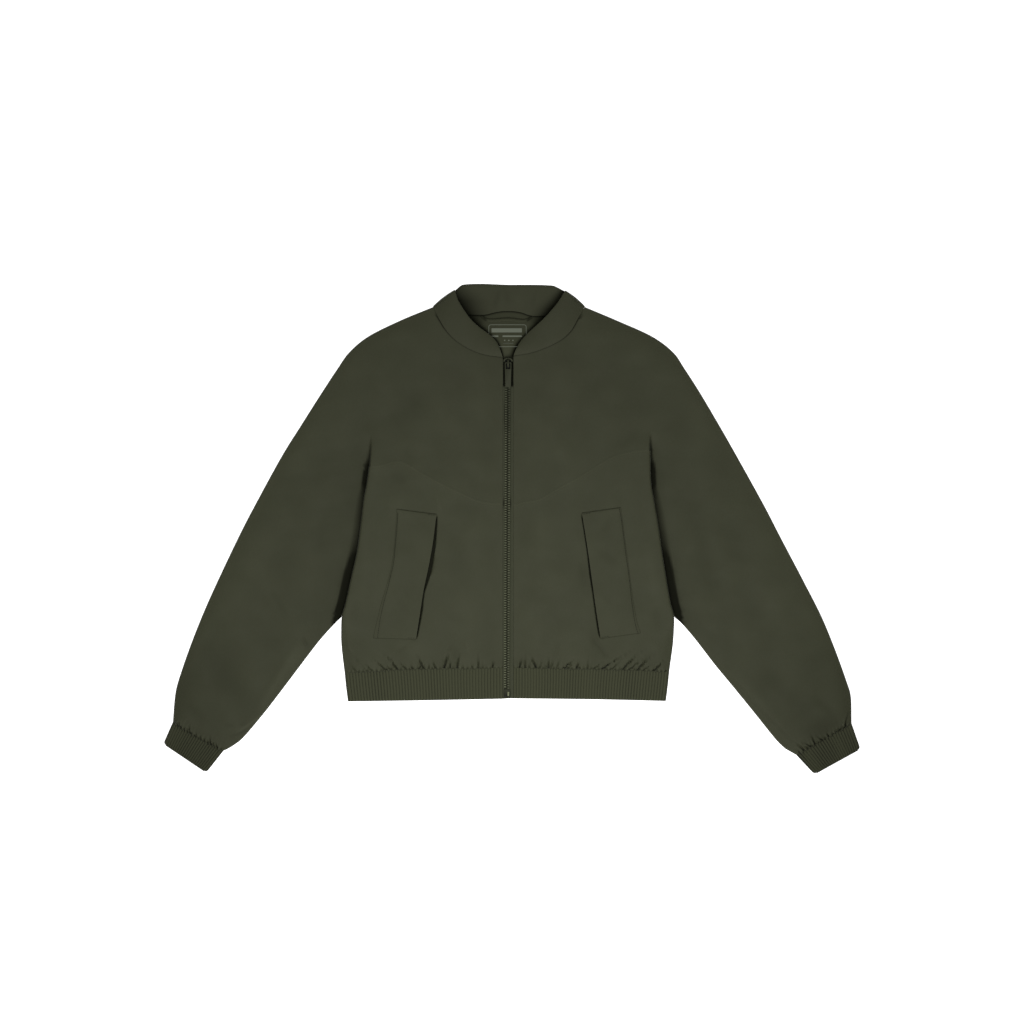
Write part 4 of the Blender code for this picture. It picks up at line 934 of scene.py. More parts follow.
def woven(name, slot, colour, roughness, sheen, mottle=MOTTLE, weave=0.25):
    """A fine plain weave, a little uneven in tone and in gloss."""
    n = Nodes(name)
    tone = n.tone()
    patches = n.spread(n.noise(34.0, 4.0, 0.6), 1 - mottle, 1 + mottle)
    grain = n.spread(n.noise(520.0, 2.0, 0.7), 0.93, 1.07)
    threads = n.math("MULTIPLY", n.waves("X", THREAD_SCALE), n.waves("Y", THREAD_SCALE))
    slubs = n.spread(n.noise(1400.0, 2.0, 0.7), 0.96, 1.04)
    amount = n.math("MULTIPLY", n.math("MULTIPLY", tone, grain), n.math("MULTIPLY", patches, slubs))
    crumple = n.bump(n.noise(150.0, 3.0, 0.55), 0.0006, 0.22)
    fine = n.bump(threads, 0.00008, weave, crumple)
    gloss = n.spread(n.noise(60.0, 3.0, 0.5), roughness - GLOSS_VARIES, roughness + GLOSS_VARIES)
    base = n.tint(colour, amount)
    made = n.finish(slot, Base_Color=base, Roughness=gloss, Normal=fine, Sheen_Roughness=0.45)
    # The painted shade dims the gloss and the sheen too
    n.put(n.shader.inputs["Specular IOR Level"], n.math("MULTIPLY", tone, 0.22))
    n.put(n.shader.inputs["Sheen Weight"], n.math("MULTIPLY", tone, sheen))
    return made


def plain(name, slot, colour, grain, roughness, specular, reliefs=(), toned=True, sheen=0.0):
    """A finish with one grain, which also carries the gloss where the roughness is a range."""
    n = Nodes(name)
    noise = n.noise(*grain.noise)
    amount = n.spread(noise, grain.low, grain.high)
    if toned:
        amount = n.math("MULTIPLY", n.tone(), amount)
    gloss = n.spread(noise, *roughness) if isinstance(roughness, tuple) else roughness
    made = n.finish(slot, Base_Color=n.tint(colour, amount), Roughness=gloss, Sheen_Weight=sheen)
    n.shader.inputs["Specular IOR Level"].default_value = specular
    below = None
    for height, distance, strength in reliefs:
        source = n.noise(*height) if isinstance(height, tuple) else n.waves("Y", height)
        below = n.bump(source, distance, strength, below)
    if below is not None:
        n.put(n.shader.inputs["Normal"], below)
    return made


SHELL = woven("shell_cloth", "shell", SHELL_COLOUR, 0.72, 0.06)
INSIDE = woven("inside_cloth", "shell", INSIDE_COLOUR, 0.8, 0.04)
TAPE = woven("woven_tape", "tape", TAPE_COLOUR, 0.8, 0.03, 0.05, 0.6)
STITCHES = ((RIB_STITCH_SCALE, 0.00012, 0.3), ((1500.0, 2.0, 0.6), 0.0001, 0.3))
KNIT = Grain((900.0, 3.0, 0.7), 0.88, 1.12)
RIB = plain("rib_knit", "rib", RIB_COLOUR, KNIT, 0.85, 0.2, STITCHES, sheen=0.04)
WEAR = Grain((420.0, 4.0, 0.6), 0.86, 1.16)
SCRATCHES = (((2200.0, 2.0, 0.6), 0.00005, 0.2),)
TEETH = plain("teeth_resin", "teeth", TEETH_COLOUR, WEAR, (0.54, 0.72), 0.12, SCRATCHES)
METAL = plain("slider_lacquer", "metal", METAL_COLOUR, WEAR, (0.58, 0.76), 0.12, SCRATCHES)
TWIST = (((3000.0, 2.0, 0.5), 0.00005, 0.4),)
FUZZ = Grain((800.0, 2.0, 0.5), 0.9, 1.1)
THREAD = plain("sewing_thread", "shell", THREAD_COLOUR, FUZZ, 0.7, 0.25, TWIST, toned=False)
INK = Grain((1300.0, 3.0, 0.7), 0.8, 1.1)
PRINT = plain("panel_ink", "shell", PRINT_COLOUR, INK, 0.7, 0.2, toned=False)


# --- Cloth pieces -------------------------------------------------------------------------------

# Limits of the painted light and shade on the cloth
DARKEST = 0.16
LIGHTEST = 1.25
# how strongly the painted shade of the gathers darkens the cloth
PIT_PAINTED_SHADE = 0.8
# Painted shade on the sleeve beside the groove, where the body's fold shades it: its strength on each side
# and its reach
GROOVE_SOFT = {"left": 0.22, "right": 0.16}
GROOVE_REACH = 28.0
ARM_PAINTED_LIGHT = 0.15  # painted light along the arm's upper edge
ARM_REACH = 42.0
ARM_END = -250.0  # where that ends towards the cuff
ARM_FADE = 120.0
CALM_SIDE = 12.0  # how far from an edge the soft folds come up
CALM_FRONT = 14.0
CALM_BACK = (8.0, 24.0, 18.0, 24.0)  # on the back: from the outline, over what width, and beside the zip
FOLD_PAINTED_LIGHT = 0.06  # painted light for each millimetre that a fold or wave adds
YOKE_ABOVE = listed(Line, (0.05, 2.0, 1.5), (-0.16, 0, 0.9))  # painted shade above the yoke seam, and a painted highlight on the seam
YOKE_BELOW = listed(Line, (0.17, 0.6, 0.9))  # and a painted highlight just below it
YOKE_RIDGE = listed(Line, (0.28, 2.4, 2.2))  # the ridge below the yoke seam
NECK_LINE_UP = 262.0  # above this the painted shade along the neck seam grows stronger and wider
NECK_LINE_RISE = 45.0  # over this height
NECK_LINE_LOW = 0.4  # its strength lower down
NECK_LINE_REACH = 0.9
NECK_LINE_WIDENS = 0.7
MOUTH_UNDER = 9.0  # how far the gap beside the pocket goes in under the welt
MOUTH_FADES = (5.0, 8.0, 6.0)  # over what length it ends there, at its top and at its bottom
# painted shadow in the gap beside the pocket, and how it gathers towards its floor
MOUTH_PAINTED_SHADOW = 0.78
MOUTH_PAINTED_SHADOW_POWER = 1.3
MOUTH_SHADE = 0.07  # painted shade on the cloth beside that gap
MOUTH_SHADE_REACH = 7.0
MOUTH_SHADE_ENDS = ((20.0, 40.0), (-170.0, 20.0))  # the top and the bottom of that, and over what length
WELT_STITCHING = listed(Line, (0.12, 0, 0.7))
WELT_SHORT_EDGE = listed(Line, (0.6, 0, 0.6))
WELT_RIM = listed(Line, (0.9, 0, 1.6))  # how deep the sewn edge is rounded off
# a painted highlight along the welt's rounded sewn edge
WELT_RIM_PAINTED_LIGHT = listed(Line, (0.06, 0, 1.5))
WELT_RISE = 0.3  # how far it stands over the gap below it
WELT_DIP = 1.2  # how deep the stitching draws it in
# painted shade along the dip of the stitching and of the short edges
WELT_LINE_PAINTED_SHADE = 0.5
WELT_LIFT_REACH = 10.0
# painted shade along the back's neck seam
BACK_NECK_PAINTED_SHADE = listed(Line, (0.85, 0, 2.0))
BACK_NECK_PAINTED_LIGHT = listed(Line, (0.3, 256, 16))  # painted light on the back at this height
BACK_WAVES = 0.5

# Soft folds, as the ends' out and up, then half width and height; a trough has a negative height
UPPER_FOLDS = {
    "left": (
        (301, -162, 366, -270, 7, 1.5), (300, -155, 287, -178, 2.5, -1.4), (346, -86, 322, -127, 4.4, -0.9),
        (452, -160, 372, -278, 24, -1.6),
        (150, 128, 138, 92, 11, -0.9), (300, 120, 380, -40, 26, -1.0), (330, 20, 420, -130, 20, 0.9),
        (110, 200, 190, 150, 16, -0.8), (60, 130, 110, 200, 14, 0.7), (262, 60, 285, -60, 12, -0.8),
        (420, -120, 460, -220, 12, -0.8), (40, 60, 90, 110, 10, -0.7), (470, -250, 440, -285, 8, -1.0),
    ),
    "right": (
        (256, -146, 420, -313, 1.3, -0.7), (160, 120, 190, 150, 9, -0.8), (300, 130, 370, -20, 24, -1.0),
        (340, -40, 430, -190, 22, 0.9), (110, 210, 180, 150, 15, -0.8), (40, 170, 90, 90, 13, 0.7),
        (270, 40, 300, -90, 12, -0.8), (370, -200, 440, -270, 14, -1.1), (440, -240, 480, -270, 7, -0.9),
        (330, -210, 400, -290, 9, 0.9), (270, -130, 300, -160, 6, -0.8),
    ),
}
SLEEVE_PAINTED_SHADING = {  # as folds, but painted highlights where positive and painted shade where negative, not calmed at the edges
    "left": (
        (396, -298, 352, -266, 1.7, 0.2), (404, -302, 374, -289, 2.6, -0.17),
        (411, -284, 394, -286, 3, -0.08),
        (390, -283, 379, -283, 3, -0.08),
    ),
    "right": (
        (478, -270, 424, -304, 15, -0.16), (486, -293, 493.5, -263, 1.2, -0.4),
        (483, -289, 490, -265, 1.4, 0.1), (296, -194, 424, -322, 1.1, -0.08),
        (300, -192, 428, -320, 1.2, 0.06),
    ),
}
LOWER_FOLDS = {
    "left": (
        (107, 60, 98, 27, 3, 0.9), (164, -94, 148, -120, 5, -0.9), (235, -165, 220, -190, 2.2, 1.4),
        (231, -172, 216, -197, 2.4, -1.2), (61, -158, 57, -181, 3, 0.9), (170, 86, 148, 68, 9, -1.0),
        (152, 30, 118, 0, 4, 0.7), (146, 26, 112, -4, 2.5, -0.7), (90, 10, 60, -60, 14, -0.9),
        (80, -90, 40, -150, 14, 0.8), (205, -20, 215, -120, 9, 0.8), (70, -20, 30, 20, 9, 0.6),
        (163, -178, 146, -168, 2.5, -0.8), (78, -166, 76, -196, 4, -1.2), (222, -100, 226, -140, 6, -1.0),
        (95, -120, 60, -135, 7, -0.8),
    ),
    "right": (
        (125, -158, 146, -188, 3, -1.2), (67, -187, 76, -158, 3, -0.9), (166, 62, 160, 28, 8, -1.0),
        (150, 22, 140, -4, 4, -0.8), (135, -28, 160, -52, 7, -0.9), (140, -88, 150, -110, 6, -0.8),
        (108, -40, 112, -84, 6, -1.6), (124, -140, 126, -172, 5, -1.6), (60, 20, 40, -60, 14, 0.8),
        (90, -80, 60, -130, 13, -0.9), (205, -10, 215, -110, 9, 0.9), (212, -110, 224, -150, 7, -1.1),
        (45, -170, 60, -150, 8, -0.8), (200, -165, 222, -172, 6, 0.8),
    ),
}


def upper_outline(side):
    """The runs of the upper front's outline, in order, and where its folded edges roll out to."""
    _, along, _, up = cuff_axes(side)
    seam_up = side.seam_end_up
    ridge = side.ridge_out(seam_up)
    valley_out = side.seam_end_out - side.hidden(seam_up)
    valley_up = np.linspace(side.yoke_up(valley_out) - TUCK_UNDER, TUCK_END + 10, 44)
    cuff = cuff_seam(side)[::-1]
    place = cuff_place(side, cuff)[0]
    inward = smooth(np.minimum(place, cuff_axes(side)[2] - place) / 9)
    cuff = cuff - (inward * scallop(place, cuff_creases(side)))[:, None] * up
    neck = np.vstack([side.neck, side.neck_point])
    shoulder = (neck[-1] - neck[-2]) / np.linalg.norm(neck[-1] - neck[-2])
    low_arm = inset(side.underarm, ROLL)
    low_arm[0] = side.underarm[0] + UNDERARM_CORNER
    low_arm[-1] = cuff[0] - ROLL * along
    high_arm = inset(side.overarm[::-1], ROLL)
    high_arm[0] = cuff[-1] + ROLL * along
    high_arm[-1] = neck[-1] - ROLL * shoulder
    neck = neck[:-1][neck[:-1, 1] < high_arm[-1, 1] - 3][::-1]
    seam = side.yoke + (0, SEAM_GAP / 2)
    step_out = ridge + TUCK_START + np.linspace(0, TUCK_STEP, 7)
    runs = {
        "seam": seam,
        "step": np.column_stack([step_out, np.full(7, seam[-1, 1])]),
        "under": side.yoke[side.yoke[:, 0] > valley_out + 3][::-1] - (0, TUCK_UNDER),
        "valley": np.column_stack([side.ridge_out(valley_up) - ROLL - side.hidden(valley_up), valley_up]),
        "low_arm": low_arm,
        "cuff": cuff[3:-3],
        "high_arm": high_arm,
        "neck": neck,
        "front_edge": spaced([neck[-1], seam[0]], EDGE_STEP)[1:-1],
    }
    reaches = {
        "low_arm": np.vstack([side.underarm[:-1], cuff[0]]),
        "high_arm": np.vstack([cuff[-1], side.overarm[::-1][1:-1], side.neck_point]),
    }
    return runs, reaches


def filled(rows, outline, step):
    """A wall's inner points: its own rows, clear of the outline, and a lattice between them."""
    rows = keep_clear(rows, outline, 0.5)
    return merge_sets(rows, lattice(outline, step), step * MERGE_SHARE)


def on_sleeve(side, flat):
    """1 on the sleeve's side of the tuck, 0 on the body's."""
    beyond = flat[:, 0] - side.ridge_out(flat[:, 1])
    share = smooth((beyond - TUCK_START - 1.2) / 2.0)
    share[flat[:, 1] < side.yoke_up(flat[:, 0])] = 1.0
    return share


def upper_front(side):
    """The upper front, cut in one with the front of the sleeve."""
    runs, reaches = upper_outline(side)
    outline = np.vstack(list(runs.values()))
    silhouette = outline.copy()
    first, last, count = {}, {}, 0
    for name, run in runs.items():
        first[name], last[name] = count, count + len(run) - 1
        if name in reaches:
            silhouette[count : count + len(run)] = reaches[name]
        count += len(run)

    step_up = np.arange(side.seam_end_up + 1.5, TUCK_TOP + 8, 2.5)
    offsets = TUCK_START + TUCK_STEP * np.array((-0.3, 0, 0.2, 0.4, 0.6, 0.8, 1.0, 1.4, 2.0))
    step_rows = [(side.ridge_out(y) + x, y) for y in step_up for x in offsets]
    crease_up = np.arange(UNDERARM[0].up + 8, side.seam_end_up - 3, 3.5)
    crease_rows = [(side.ridge_out(y) + x, y) for y in crease_up for x in (-4, -1, 2, 4, 6, 8.5, 11, 13.5)]
    seam_rows = [inset(side.yoke, d) for d in (0.7, 1.4, 2.6, 4.4)]
    seam_rows += [inset(side.neck, -d) for d in (0.7, 1.5, 2.6)]
    seam = cuff_seam(side)[3:-3]
    up = cuff_axes(side)[3]
    gathers = np.vstack([spaced(seam, spacing) + distance * up for distance, spacing in HEM_ROWS])
    narrow = fold_rows(UPPER_FOLDS[side.name] + SLEEVE_PAINTED_SHADING[side.name])
    rows = np.vstack([step_rows, crease_rows, *seam_rows, gathers])
    points = filled(merge_sets(rows, narrow, 0.9), outline, FRONT_STEP)

    def soft(flat):
        edge = np.min([distance_to(flat, line) for line in side.edges], axis=0)
        return smooth(edge / CALM_SIDE) * (unevenness(flat, side.sign) + folds(flat, UPPER_FOLDS[side.name]))

    def relief(flat):
        return cuff_gathers(side, flat)[0] + soft(flat)

    # Painted light and shade: shade in the tuck's groove, along the neck seam and in the cuff's gathers,
    # light on the yoke seam, along the arm and on raised folds
    def tone(points):
        flat = points[:, :2]
        away, share = side.groove(flat)
        core = 1 - smooth(away / table_value(GROOVE, "fade", flat[:, 1]))
        core *= table_value(GROOVE, "dark", flat[:, 1])
        near = np.maximum(core, GROOVE_SOFT[side.name] * np.exp(-np.maximum(away, 0) / GROOVE_REACH))
        above = flat[:, 1] - side.yoke_up(flat[:, 0])
        seam = drawn(YOKE_ABOVE, above) * (flat[:, 0] < side.seam_end_out)
        high = smooth((flat[:, 1] - NECK_LINE_UP) / NECK_LINE_RISE)
        high = NECK_LINE_LOW + (1 - NECK_LINE_LOW) * high
        neck = high * bell(distance_to(flat, side.neck), NECK_LINE_REACH + NECK_LINE_WIDENS * high)
        dark = (1 - share * on_sleeve(side, flat) * near) * (1 - neck) - seam + FOLD_PAINTED_LIGHT * soft(flat)
        dark += folds(flat, SLEEVE_PAINTED_SHADING[side.name])
        arm = ARM_PAINTED_LIGHT * bell(distance_to(flat, side.overarm), ARM_REACH)
        dark += arm * smooth((flat[:, 1] - ARM_END) / ARM_FADE)
        return np.clip(dark * (1 - PIT_PAINTED_SHADE * cuff_gathers(side, flat)[1]), DARKEST, LIGHTEST)

    wall = Wall(outline, points, side.upper_level, CLOTH, relief, EDGE_LEVEL)
    section = fold_section(wall, silhouette)
    for name in reaches:
        wall.roll(first[name], last[name], section)
    return wall.finish(f"cloth_front_upper_{side.name}", f"front_upper_{side.name}", side.sign, SHELL, tone)


def mouth_profile(side, flat):
    """How deep each point lies in the gap beside the pocket's opening: 0 outside it, 1 in its floor."""
    toward_zip = side.opening_out(flat[:, 1]) - flat[:, 0]
    width = table_value(MOUTHS[side.name], "width", flat[:, 1])
    profile = 1 - smooth((toward_zip - width) / MOUTH_SPREAD)
    under_fade, top_fade, bottom_fade = MOUTH_FADES
    profile *= smooth((toward_zip + MOUTH_UNDER) / under_fade)
    profile *= smooth((side.opening[0, 1] - flat[:, 1]) / top_fade)
    return profile * smooth((flat[:, 1] - side.opening[-1, 1]) / bottom_fade)


def front_plain(side, flat):
    """Height of the lower front's outer face without the gap beside the pocket."""
    level = side.body_level(flat) + CLOTH + hem_gathers(side, flat)[0]
    return level + front_soft(side, flat)


def front_soft(side, flat):
    edge = np.minimum(side.ridge_out(flat[:, 1]) - flat[:, 0], flat[:, 0] - ZIP_EDGE)
    calm = smooth(edge / CALM_FRONT)
    return calm * (unevenness(flat, side.sign) + folds(flat, LOWER_FOLDS[side.name]))


def lower_front(side):
    """The lower front, with the tuck at its side."""
    hem_out = np.linspace(ZIP_EDGE, side.hem_end - ROLL, 180)
    hang = scallop(hem_out, HEM_GATHERS[side.name]) * smooth((side.hem_end - hem_out) / 12)
    hem = np.column_stack([hem_out, side.hem_up(hem_out) - hang])
    ups = (hem[-1, 1], SIDE_START, TUCK_END, side.seam_end_up - SEAM_GAP / 2)
    runs = zip(ups, ups[1:], (22, 8, 64))
    side_up = np.concatenate([np.linspace(low, high, count)[1:] for low, high, count in runs])
    edge = np.column_stack([side.ridge_out(side_up) - ROLL, side_up])
    seam = side.yoke[::-1][1:] - (0, SEAM_GAP / 2)
    front_edge = spaced([seam[-1], hem[0]], EDGE_STEP)[1:-1]
    outline = np.vstack([hem, edge, seam, front_edge])

    rows = []
    for distance, spacing in HEM_ROWS:
        x = np.arange(ZIP_EDGE + 1.5, hem_out[-1] - 1.5, spacing)
        rows.append(np.column_stack([x, side.hem_up(x) + distance]))
    mouth = [inset(side.opening, -d) for d in (-4, -1.5, 0, 0.7, 1.4, 2.1, 2.8, 3.6, 4.4, 5.4, 7)]
    yoke_rows = [inset(side.yoke, -d) for d in (0.7, 1.5, 2.4, 3.4, 4.8)]
    rows = merge_sets(np.vstack(rows + mouth + yoke_rows), fold_rows(LOWER_FOLDS[side.name]), 0.9)
    points = filled(rows, outline, FRONT_STEP)

    def relief(flat):
        below = side.yoke_up(flat[:, 0]) - flat[:, 1]
        soft = hem_gathers(side, flat)[0] + front_soft(side, flat)
        return soft + drawn(YOKE_RIDGE, below) - MOUTH_DEPTH * mouth_profile(side, flat)

    # Painted light and shade: a highlight below the yoke seam, light on raised folds, shade beside the
    # pocket's gap and in the hem's gathers, shadow in the gap
    def tone(points):
        flat = points[:, :2]
        below = side.yoke_up(flat[:, 0]) - flat[:, 1]
        light = drawn(YOKE_BELOW, below) + FOLD_PAINTED_LIGHT * front_soft(side, flat)
        toward_zip = np.maximum(side.opening_out(flat[:, 1]) - flat[:, 0], 0)
        (top, top_fade), (bottom, bottom_fade) = MOUTH_SHADE_ENDS
        middle = smooth((top - flat[:, 1]) / top_fade) * smooth((flat[:, 1] - bottom) / bottom_fade)
        light -= MOUTH_SHADE * middle * np.exp(-toward_zip / MOUTH_SHADE_REACH) * (toward_zip > 0)
        dark = (1 + light) * (1 - PIT_PAINTED_SHADE * hem_gathers(side, flat)[1])
        dark = dark * (1 - MOUTH_PAINTED_SHADOW * mouth_profile(side, flat) ** MOUTH_PAINTED_SHADOW_POWER)
        return np.clip(dark, DARKEST, LIGHTEST)

    wall = Wall(outline, points, side.body_level, CLOTH, relief, EDGE_LEVEL)
    wall.roll(len(hem) - 1, len(hem) + len(edge) - 1, side_section(wall, side))
    return wall.finish(f"cloth_front_lower_{side.name}", f"front_lower_{side.name}", side.sign, SHELL, tone)


def welt(side):
    """The wide welt over the pocket opening, laid on the lower front."""
    bottom = spaced([side.sewn[-1], side.opening[-1]], WELT_STEP)[1:-1]
    top = spaced([side.opening[0], side.sewn[0]], WELT_STEP)[1:-1]
    outline = np.vstack([side.opening[::-1], top, side.sewn, bottom])
    stitched = curve(STITCHED[side.name], WELT_STEP)
    ends = [
        np.vstack([side.opening[0], top, side.sewn[:1]]),
        np.vstack([side.sewn[-1:], bottom, side.opening[-1]]),
    ]
    edge_rows = [inset(side.opening, 1.2)] + [inset(stitched, d) for d in (-0.8, 0, 0.8)]
    edge_rows += [inset(end, -d) for end in ends for d in (0.7, 1.5)]
    points = filled(np.vstack(edge_rows), outline, FRONT_STEP)

    def lines(flat):
        """How strong the stitching and the short edges show, 0 away from them."""
        along = drawn(WELT_STITCHING, distance_to(flat, stitched))
        short = [drawn(WELT_SHORT_EDGE, distance_to(flat, end)) for end in ends]
        return np.max([along, *short], axis=0)

    def level(flat):
        lift = table_value(MOUTHS[side.name], "lift", flat[:, 1])
        lift = lift * np.exp(-distance_to(flat, side.opening) / WELT_LIFT_REACH)
        rim = drawn(WELT_RIM, distance_to(flat, side.sewn))
        dip = np.maximum(rim, WELT_DIP * lines(flat))
        return front_plain(side, flat) + GAP + lift + WELT_RISE - dip

    # Painted light and shade: a highlight on the sewn edge, light on raised folds, shade along the
    # stitching's dip
    def tone(points):
        flat = points[:, :2]
        edge = drawn(WELT_RIM_PAINTED_LIGHT, distance_to(flat, side.sewn))
        light = 1 + edge + FOLD_PAINTED_LIGHT * front_soft(side, flat)
        return light * (1 - WELT_LINE_PAINTED_SHADE * lines(flat))

    wall = Wall(outline, points, level, WELT_CLOTH)
    return wall.finish(f"cloth_welt_{side.name}", f"welt_{side.name}", side.sign, SHELL, tone)


def back_half(side):
    """One half of the back's outline, from the middle of the hem round to the middle of the neck."""
    hem_out = np.linspace(0, side.hem_end - BACK_INSET, 60)
    hem = np.column_stack([hem_out, side.hem_up(hem_out) + SEAM_GAP])
    below = side.ridge[side.ridge[:, 1] < UNDERARM[0].up - 3][::-1]
    flank = inset(below, BACK_INSET)[1:]
    corner = [side.underarm[0] + (-1.5, 2.0)]
    low_arm = inset(side.underarm, BACK_INSET)[2:-1]
    cuff = cuff_seam(side, BACK_STEP)[::-1][1:-1] + SEAM_GAP * cuff_axes(side)[3]
    high_arm = inset(side.overarm[::-1], BACK_INSET)[1:-1]
    neck = seam_line(BACK_NECK, side.name, 1.5)[::-1] + (0, NECK_LAP)
    return np.vstack([hem, flank, corner, low_arm, cuff, high_arm, neck[1:]])


BACK_FOLDS = (
    (-120, -150, -60, 60, 16, 1.2), (60, -170, 130, 20, 18, 1.1), (-190, 60, -90, 150, 15, 1.0),
    (90, 160, 190, 80, 14, 1.0), (-330, -60, -380, -230, 13, 1.1), (290, -20, 360, -200, 14, 1.1),
    (-250, 90, -320, -90, 12, 0.9), (330, -120, 420, -240, 12, 1.0), (-50, -120, 60, -90, 14, 0.9),
    (-150, -40, -210, -130, 12, 0.8), (160, -60, 215, -150, 12, 0.8),
)


def back(sides):
    """The back, cut in one with both sleeves' backs, resting on its underside."""
    left = back_half(sides["left"])[::-1] * (-1, 1)
    outline = np.vstack([back_half(sides["right"])[:-1], left[:-1]])
    closed = np.vstack([outline, outline[:1]])
    neck = [seam_line(BACK_NECK, name, 1.5) for name in SIDES]
    halves = list(zip(neck, SIDES.values()))
    rows = [(line - (0, d)) * (sign, 1) for line, sign in halves for d in (0.7, 1.5, 2.5, 4)]
    vee = [(x, y) for x in np.arange(-15, 16, 1.5) for y in np.arange(236, 276, 1.5)]
    inner = [(x, y) for x in np.arange(-90, 91, 3.0) for y in np.arange(240, 304, 3.0)]
    inner = merge_sets(np.array(vee, float), np.array(inner), 1.5)
    points = filled(merge_sets(np.vstack(rows), inner, 1.5), outline, BACK_POINT_STEP)

    def relief(flat):
        from_edge, edge_rise, from_zip, zip_rise = CALM_BACK
        calm = smooth((distance_to(flat, closed) - from_edge) / edge_rise)
        calm *= smooth((np.abs(flat[:, 0]) - from_zip) / zip_rise)
        return calm * (folds(flat, BACK_FOLDS) + BACK_WAVES * unevenness(flat, 1))

    wall = Wall(outline, points, lambda p: np.zeros(len(p)), CLOTH, relief)

    # Painted shade along the neck seam and under the front collar's edges, and painted light inside the neck
    def tone(points):
        neck = [seam_line(BACK_NECK, name) * (sign, 1) for name, sign in SIDES.items()]
        near = np.min([distance_to(points[:, :2], line) for line in neck], axis=0)
        dark = (1 - drawn(BACK_NECK_PAINTED_SHADE, near)) * (1 + drawn(BACK_NECK_PAINTED_LIGHT, points[:, 1]))
        return np.clip(dark * (1 - front_edge_shade(points[:, :2])), 0.1, 1.3)

    return wall.finish("cloth_back", "back", 1, INSIDE, tone)


# --- Bands --------------------------------------------------------------------------------------

EDGE_TURNS = (35.0, 70.0)  # the rounded edge of a band, in degrees


def turn_points(centre, radius, first, last, steps):
    """(across, z) round an arc, with its ends left out."""
    angles = np.linspace(first, last, steps + 1)[1:-1]
    return [(centre[0] + radius * math.cos(a), centre[1] + radius * math.sin(a)) for a in angles]


def ribbed(start, end, count):
    """(across, share of the rise) of each point on `count` round ribs between start and end."""
    places = np.arange(count * RIB_POINTS + 1) / RIB_POINTS
    rise = np.abs(np.sin(math.pi * places)) ** 0.75
    return list(zip(start + (end - start) * places / count, rise))


def places_along(row, across):
    """Each point's place along a row, 0 to 1, by its steps across and a little by those in height."""
    flat = np.array(row, float)
    steps = np.abs(np.diff(flat[:, :2] @ across)) + 0.3 * np.abs(np.diff(flat[:, 2]))
    along = np.concatenate([[0], np.cumsum(steps)])
    return along / along[-1]


def face_lift(face, turn):
    """How deep under the outer face a face lies, where the wall's edge has turned by an angle."""
    way = 1 if face == "outer" else -1
    return RIB_CLOTH / 2 * (1 - way * math.cos(turn))


def hem_half(face, end, ribs, turn):
    """Half a section of the hem band, as (out, z): the front, the side fold and the fold's foot."""
    lift = face_lift(face, turn)
    rise, count = (RIB_RISE * math.cos(turn) * 2, ribs) if face == "outer" else (0.0, 14)
    radius = HEM_HEIGHT / 2
    front = [(out, HEM_HEIGHT - lift + rise * high) for out, high in ribbed(ZIP_EDGE, end, count)]
    fold = turn_points((end, radius), radius - lift, math.pi / 2, -math.pi / 2, BAND_TURNS)
    return front + fold + [(end, lift)]


def hem_row(sides, face, share, turn):
    """The hem band's row of points at a share of the way from its seam to its lower edge."""
    halves = {}
    for name, side in sides.items():
        end = side.hem_end - share * HEM_TAPER - HEM_HEIGHT / 2
        halves[name] = hem_half(face, end, HEM_RIBS[name], turn)
    left = [(-out, z) for out, z in halves["left"]]
    right = halves["right"][::-1]
    under = [(x, left[-1][1]) for x in np.linspace(left[-1][0], right[0][0], 40)[1:-1]]
    row = []
    for x, z in left + under + right:
        side = sides["left" if x < 0 else "right"]
        top = float(side.hem_up(abs(x)))
        low = float(side.hem_edge_up(abs(x))) + RIB_CLOTH / 2
        sway = 0.5 * math.sin(share * 2.6) * math.sin(x / 31) * (z > HEM_HEIGHT / 2)
        row.append((x + sway * (abs(x) > 20), top + share * (low - top) - RIB_CLOTH / 2 * math.sin(turn), z))
    return row


def band_rows(count):
    """(share of the way to the edge, turn of the rounded edge) for each row of a band."""
    return [(share, 0.0) for share in np.linspace(0, 1, count)] + [(1.0, math.radians(t)) for t in EDGE_TURNS]


def rib_painted_shade(height, overall, table, place):
    """Painted shade in the valleys between the ribs, as the table says for each place along the band."""

    def tone(points):
        high = (points[:, 2] - height) / (2 * RIB_RISE)
        deep = np.interp(place(points), *zip(*table))
        deep = deep * (1 + RIB_VARIES * np.sin(points[:, 0] / 9 + 1) * np.sin(points[:, 0] / 23))
        return overall * np.where(high > -0.2, 1.06 - deep * (1 - np.clip(high, 0, 1)), 0.9)

    return tone


def hem_band(sides):
    """The ribbed hem band: its front halves, folded at each side into the plain back."""
    rings = {face: [hem_row(sides, face, *row) for row in band_rows(BAND_ROWS)] for face in FACES}
    places = [places_along(rings[face][0], (1, 0)) for face in FACES]
    tone = rib_painted_shade(HEM_HEIGHT, 1.03, HEM_RIB_DARK, lambda points: points[:, 0])
    return band("cloth_hem_band", "hem_band", rings, places, False, RIB, tone)


def cuff_loop(face, length, turn):
    """A section across a cuff, as (across, z): front, inner fold, underside, outer fold."""
    lift = face_lift(face, turn)
    rise, count = (RIB_RISE * math.cos(turn) * 2, CUFF_RIBS) if face == "outer" else (0.0, 6)
    radius = CUFF_HEIGHT / 2
    loop = [(x, CUFF_HEIGHT - lift + rise * high) for x, high in ribbed(radius, length - radius, count)]
    loop += turn_points((length - radius, radius), radius - lift, math.pi / 2, -math.pi / 2, BAND_TURNS)
    loop += [(x, lift) for x in np.linspace(length - radius, radius, 20)]
    loop += turn_points((radius, radius), radius - lift, 3 * math.pi / 2, math.pi / 2, BAND_TURNS)
    return loop


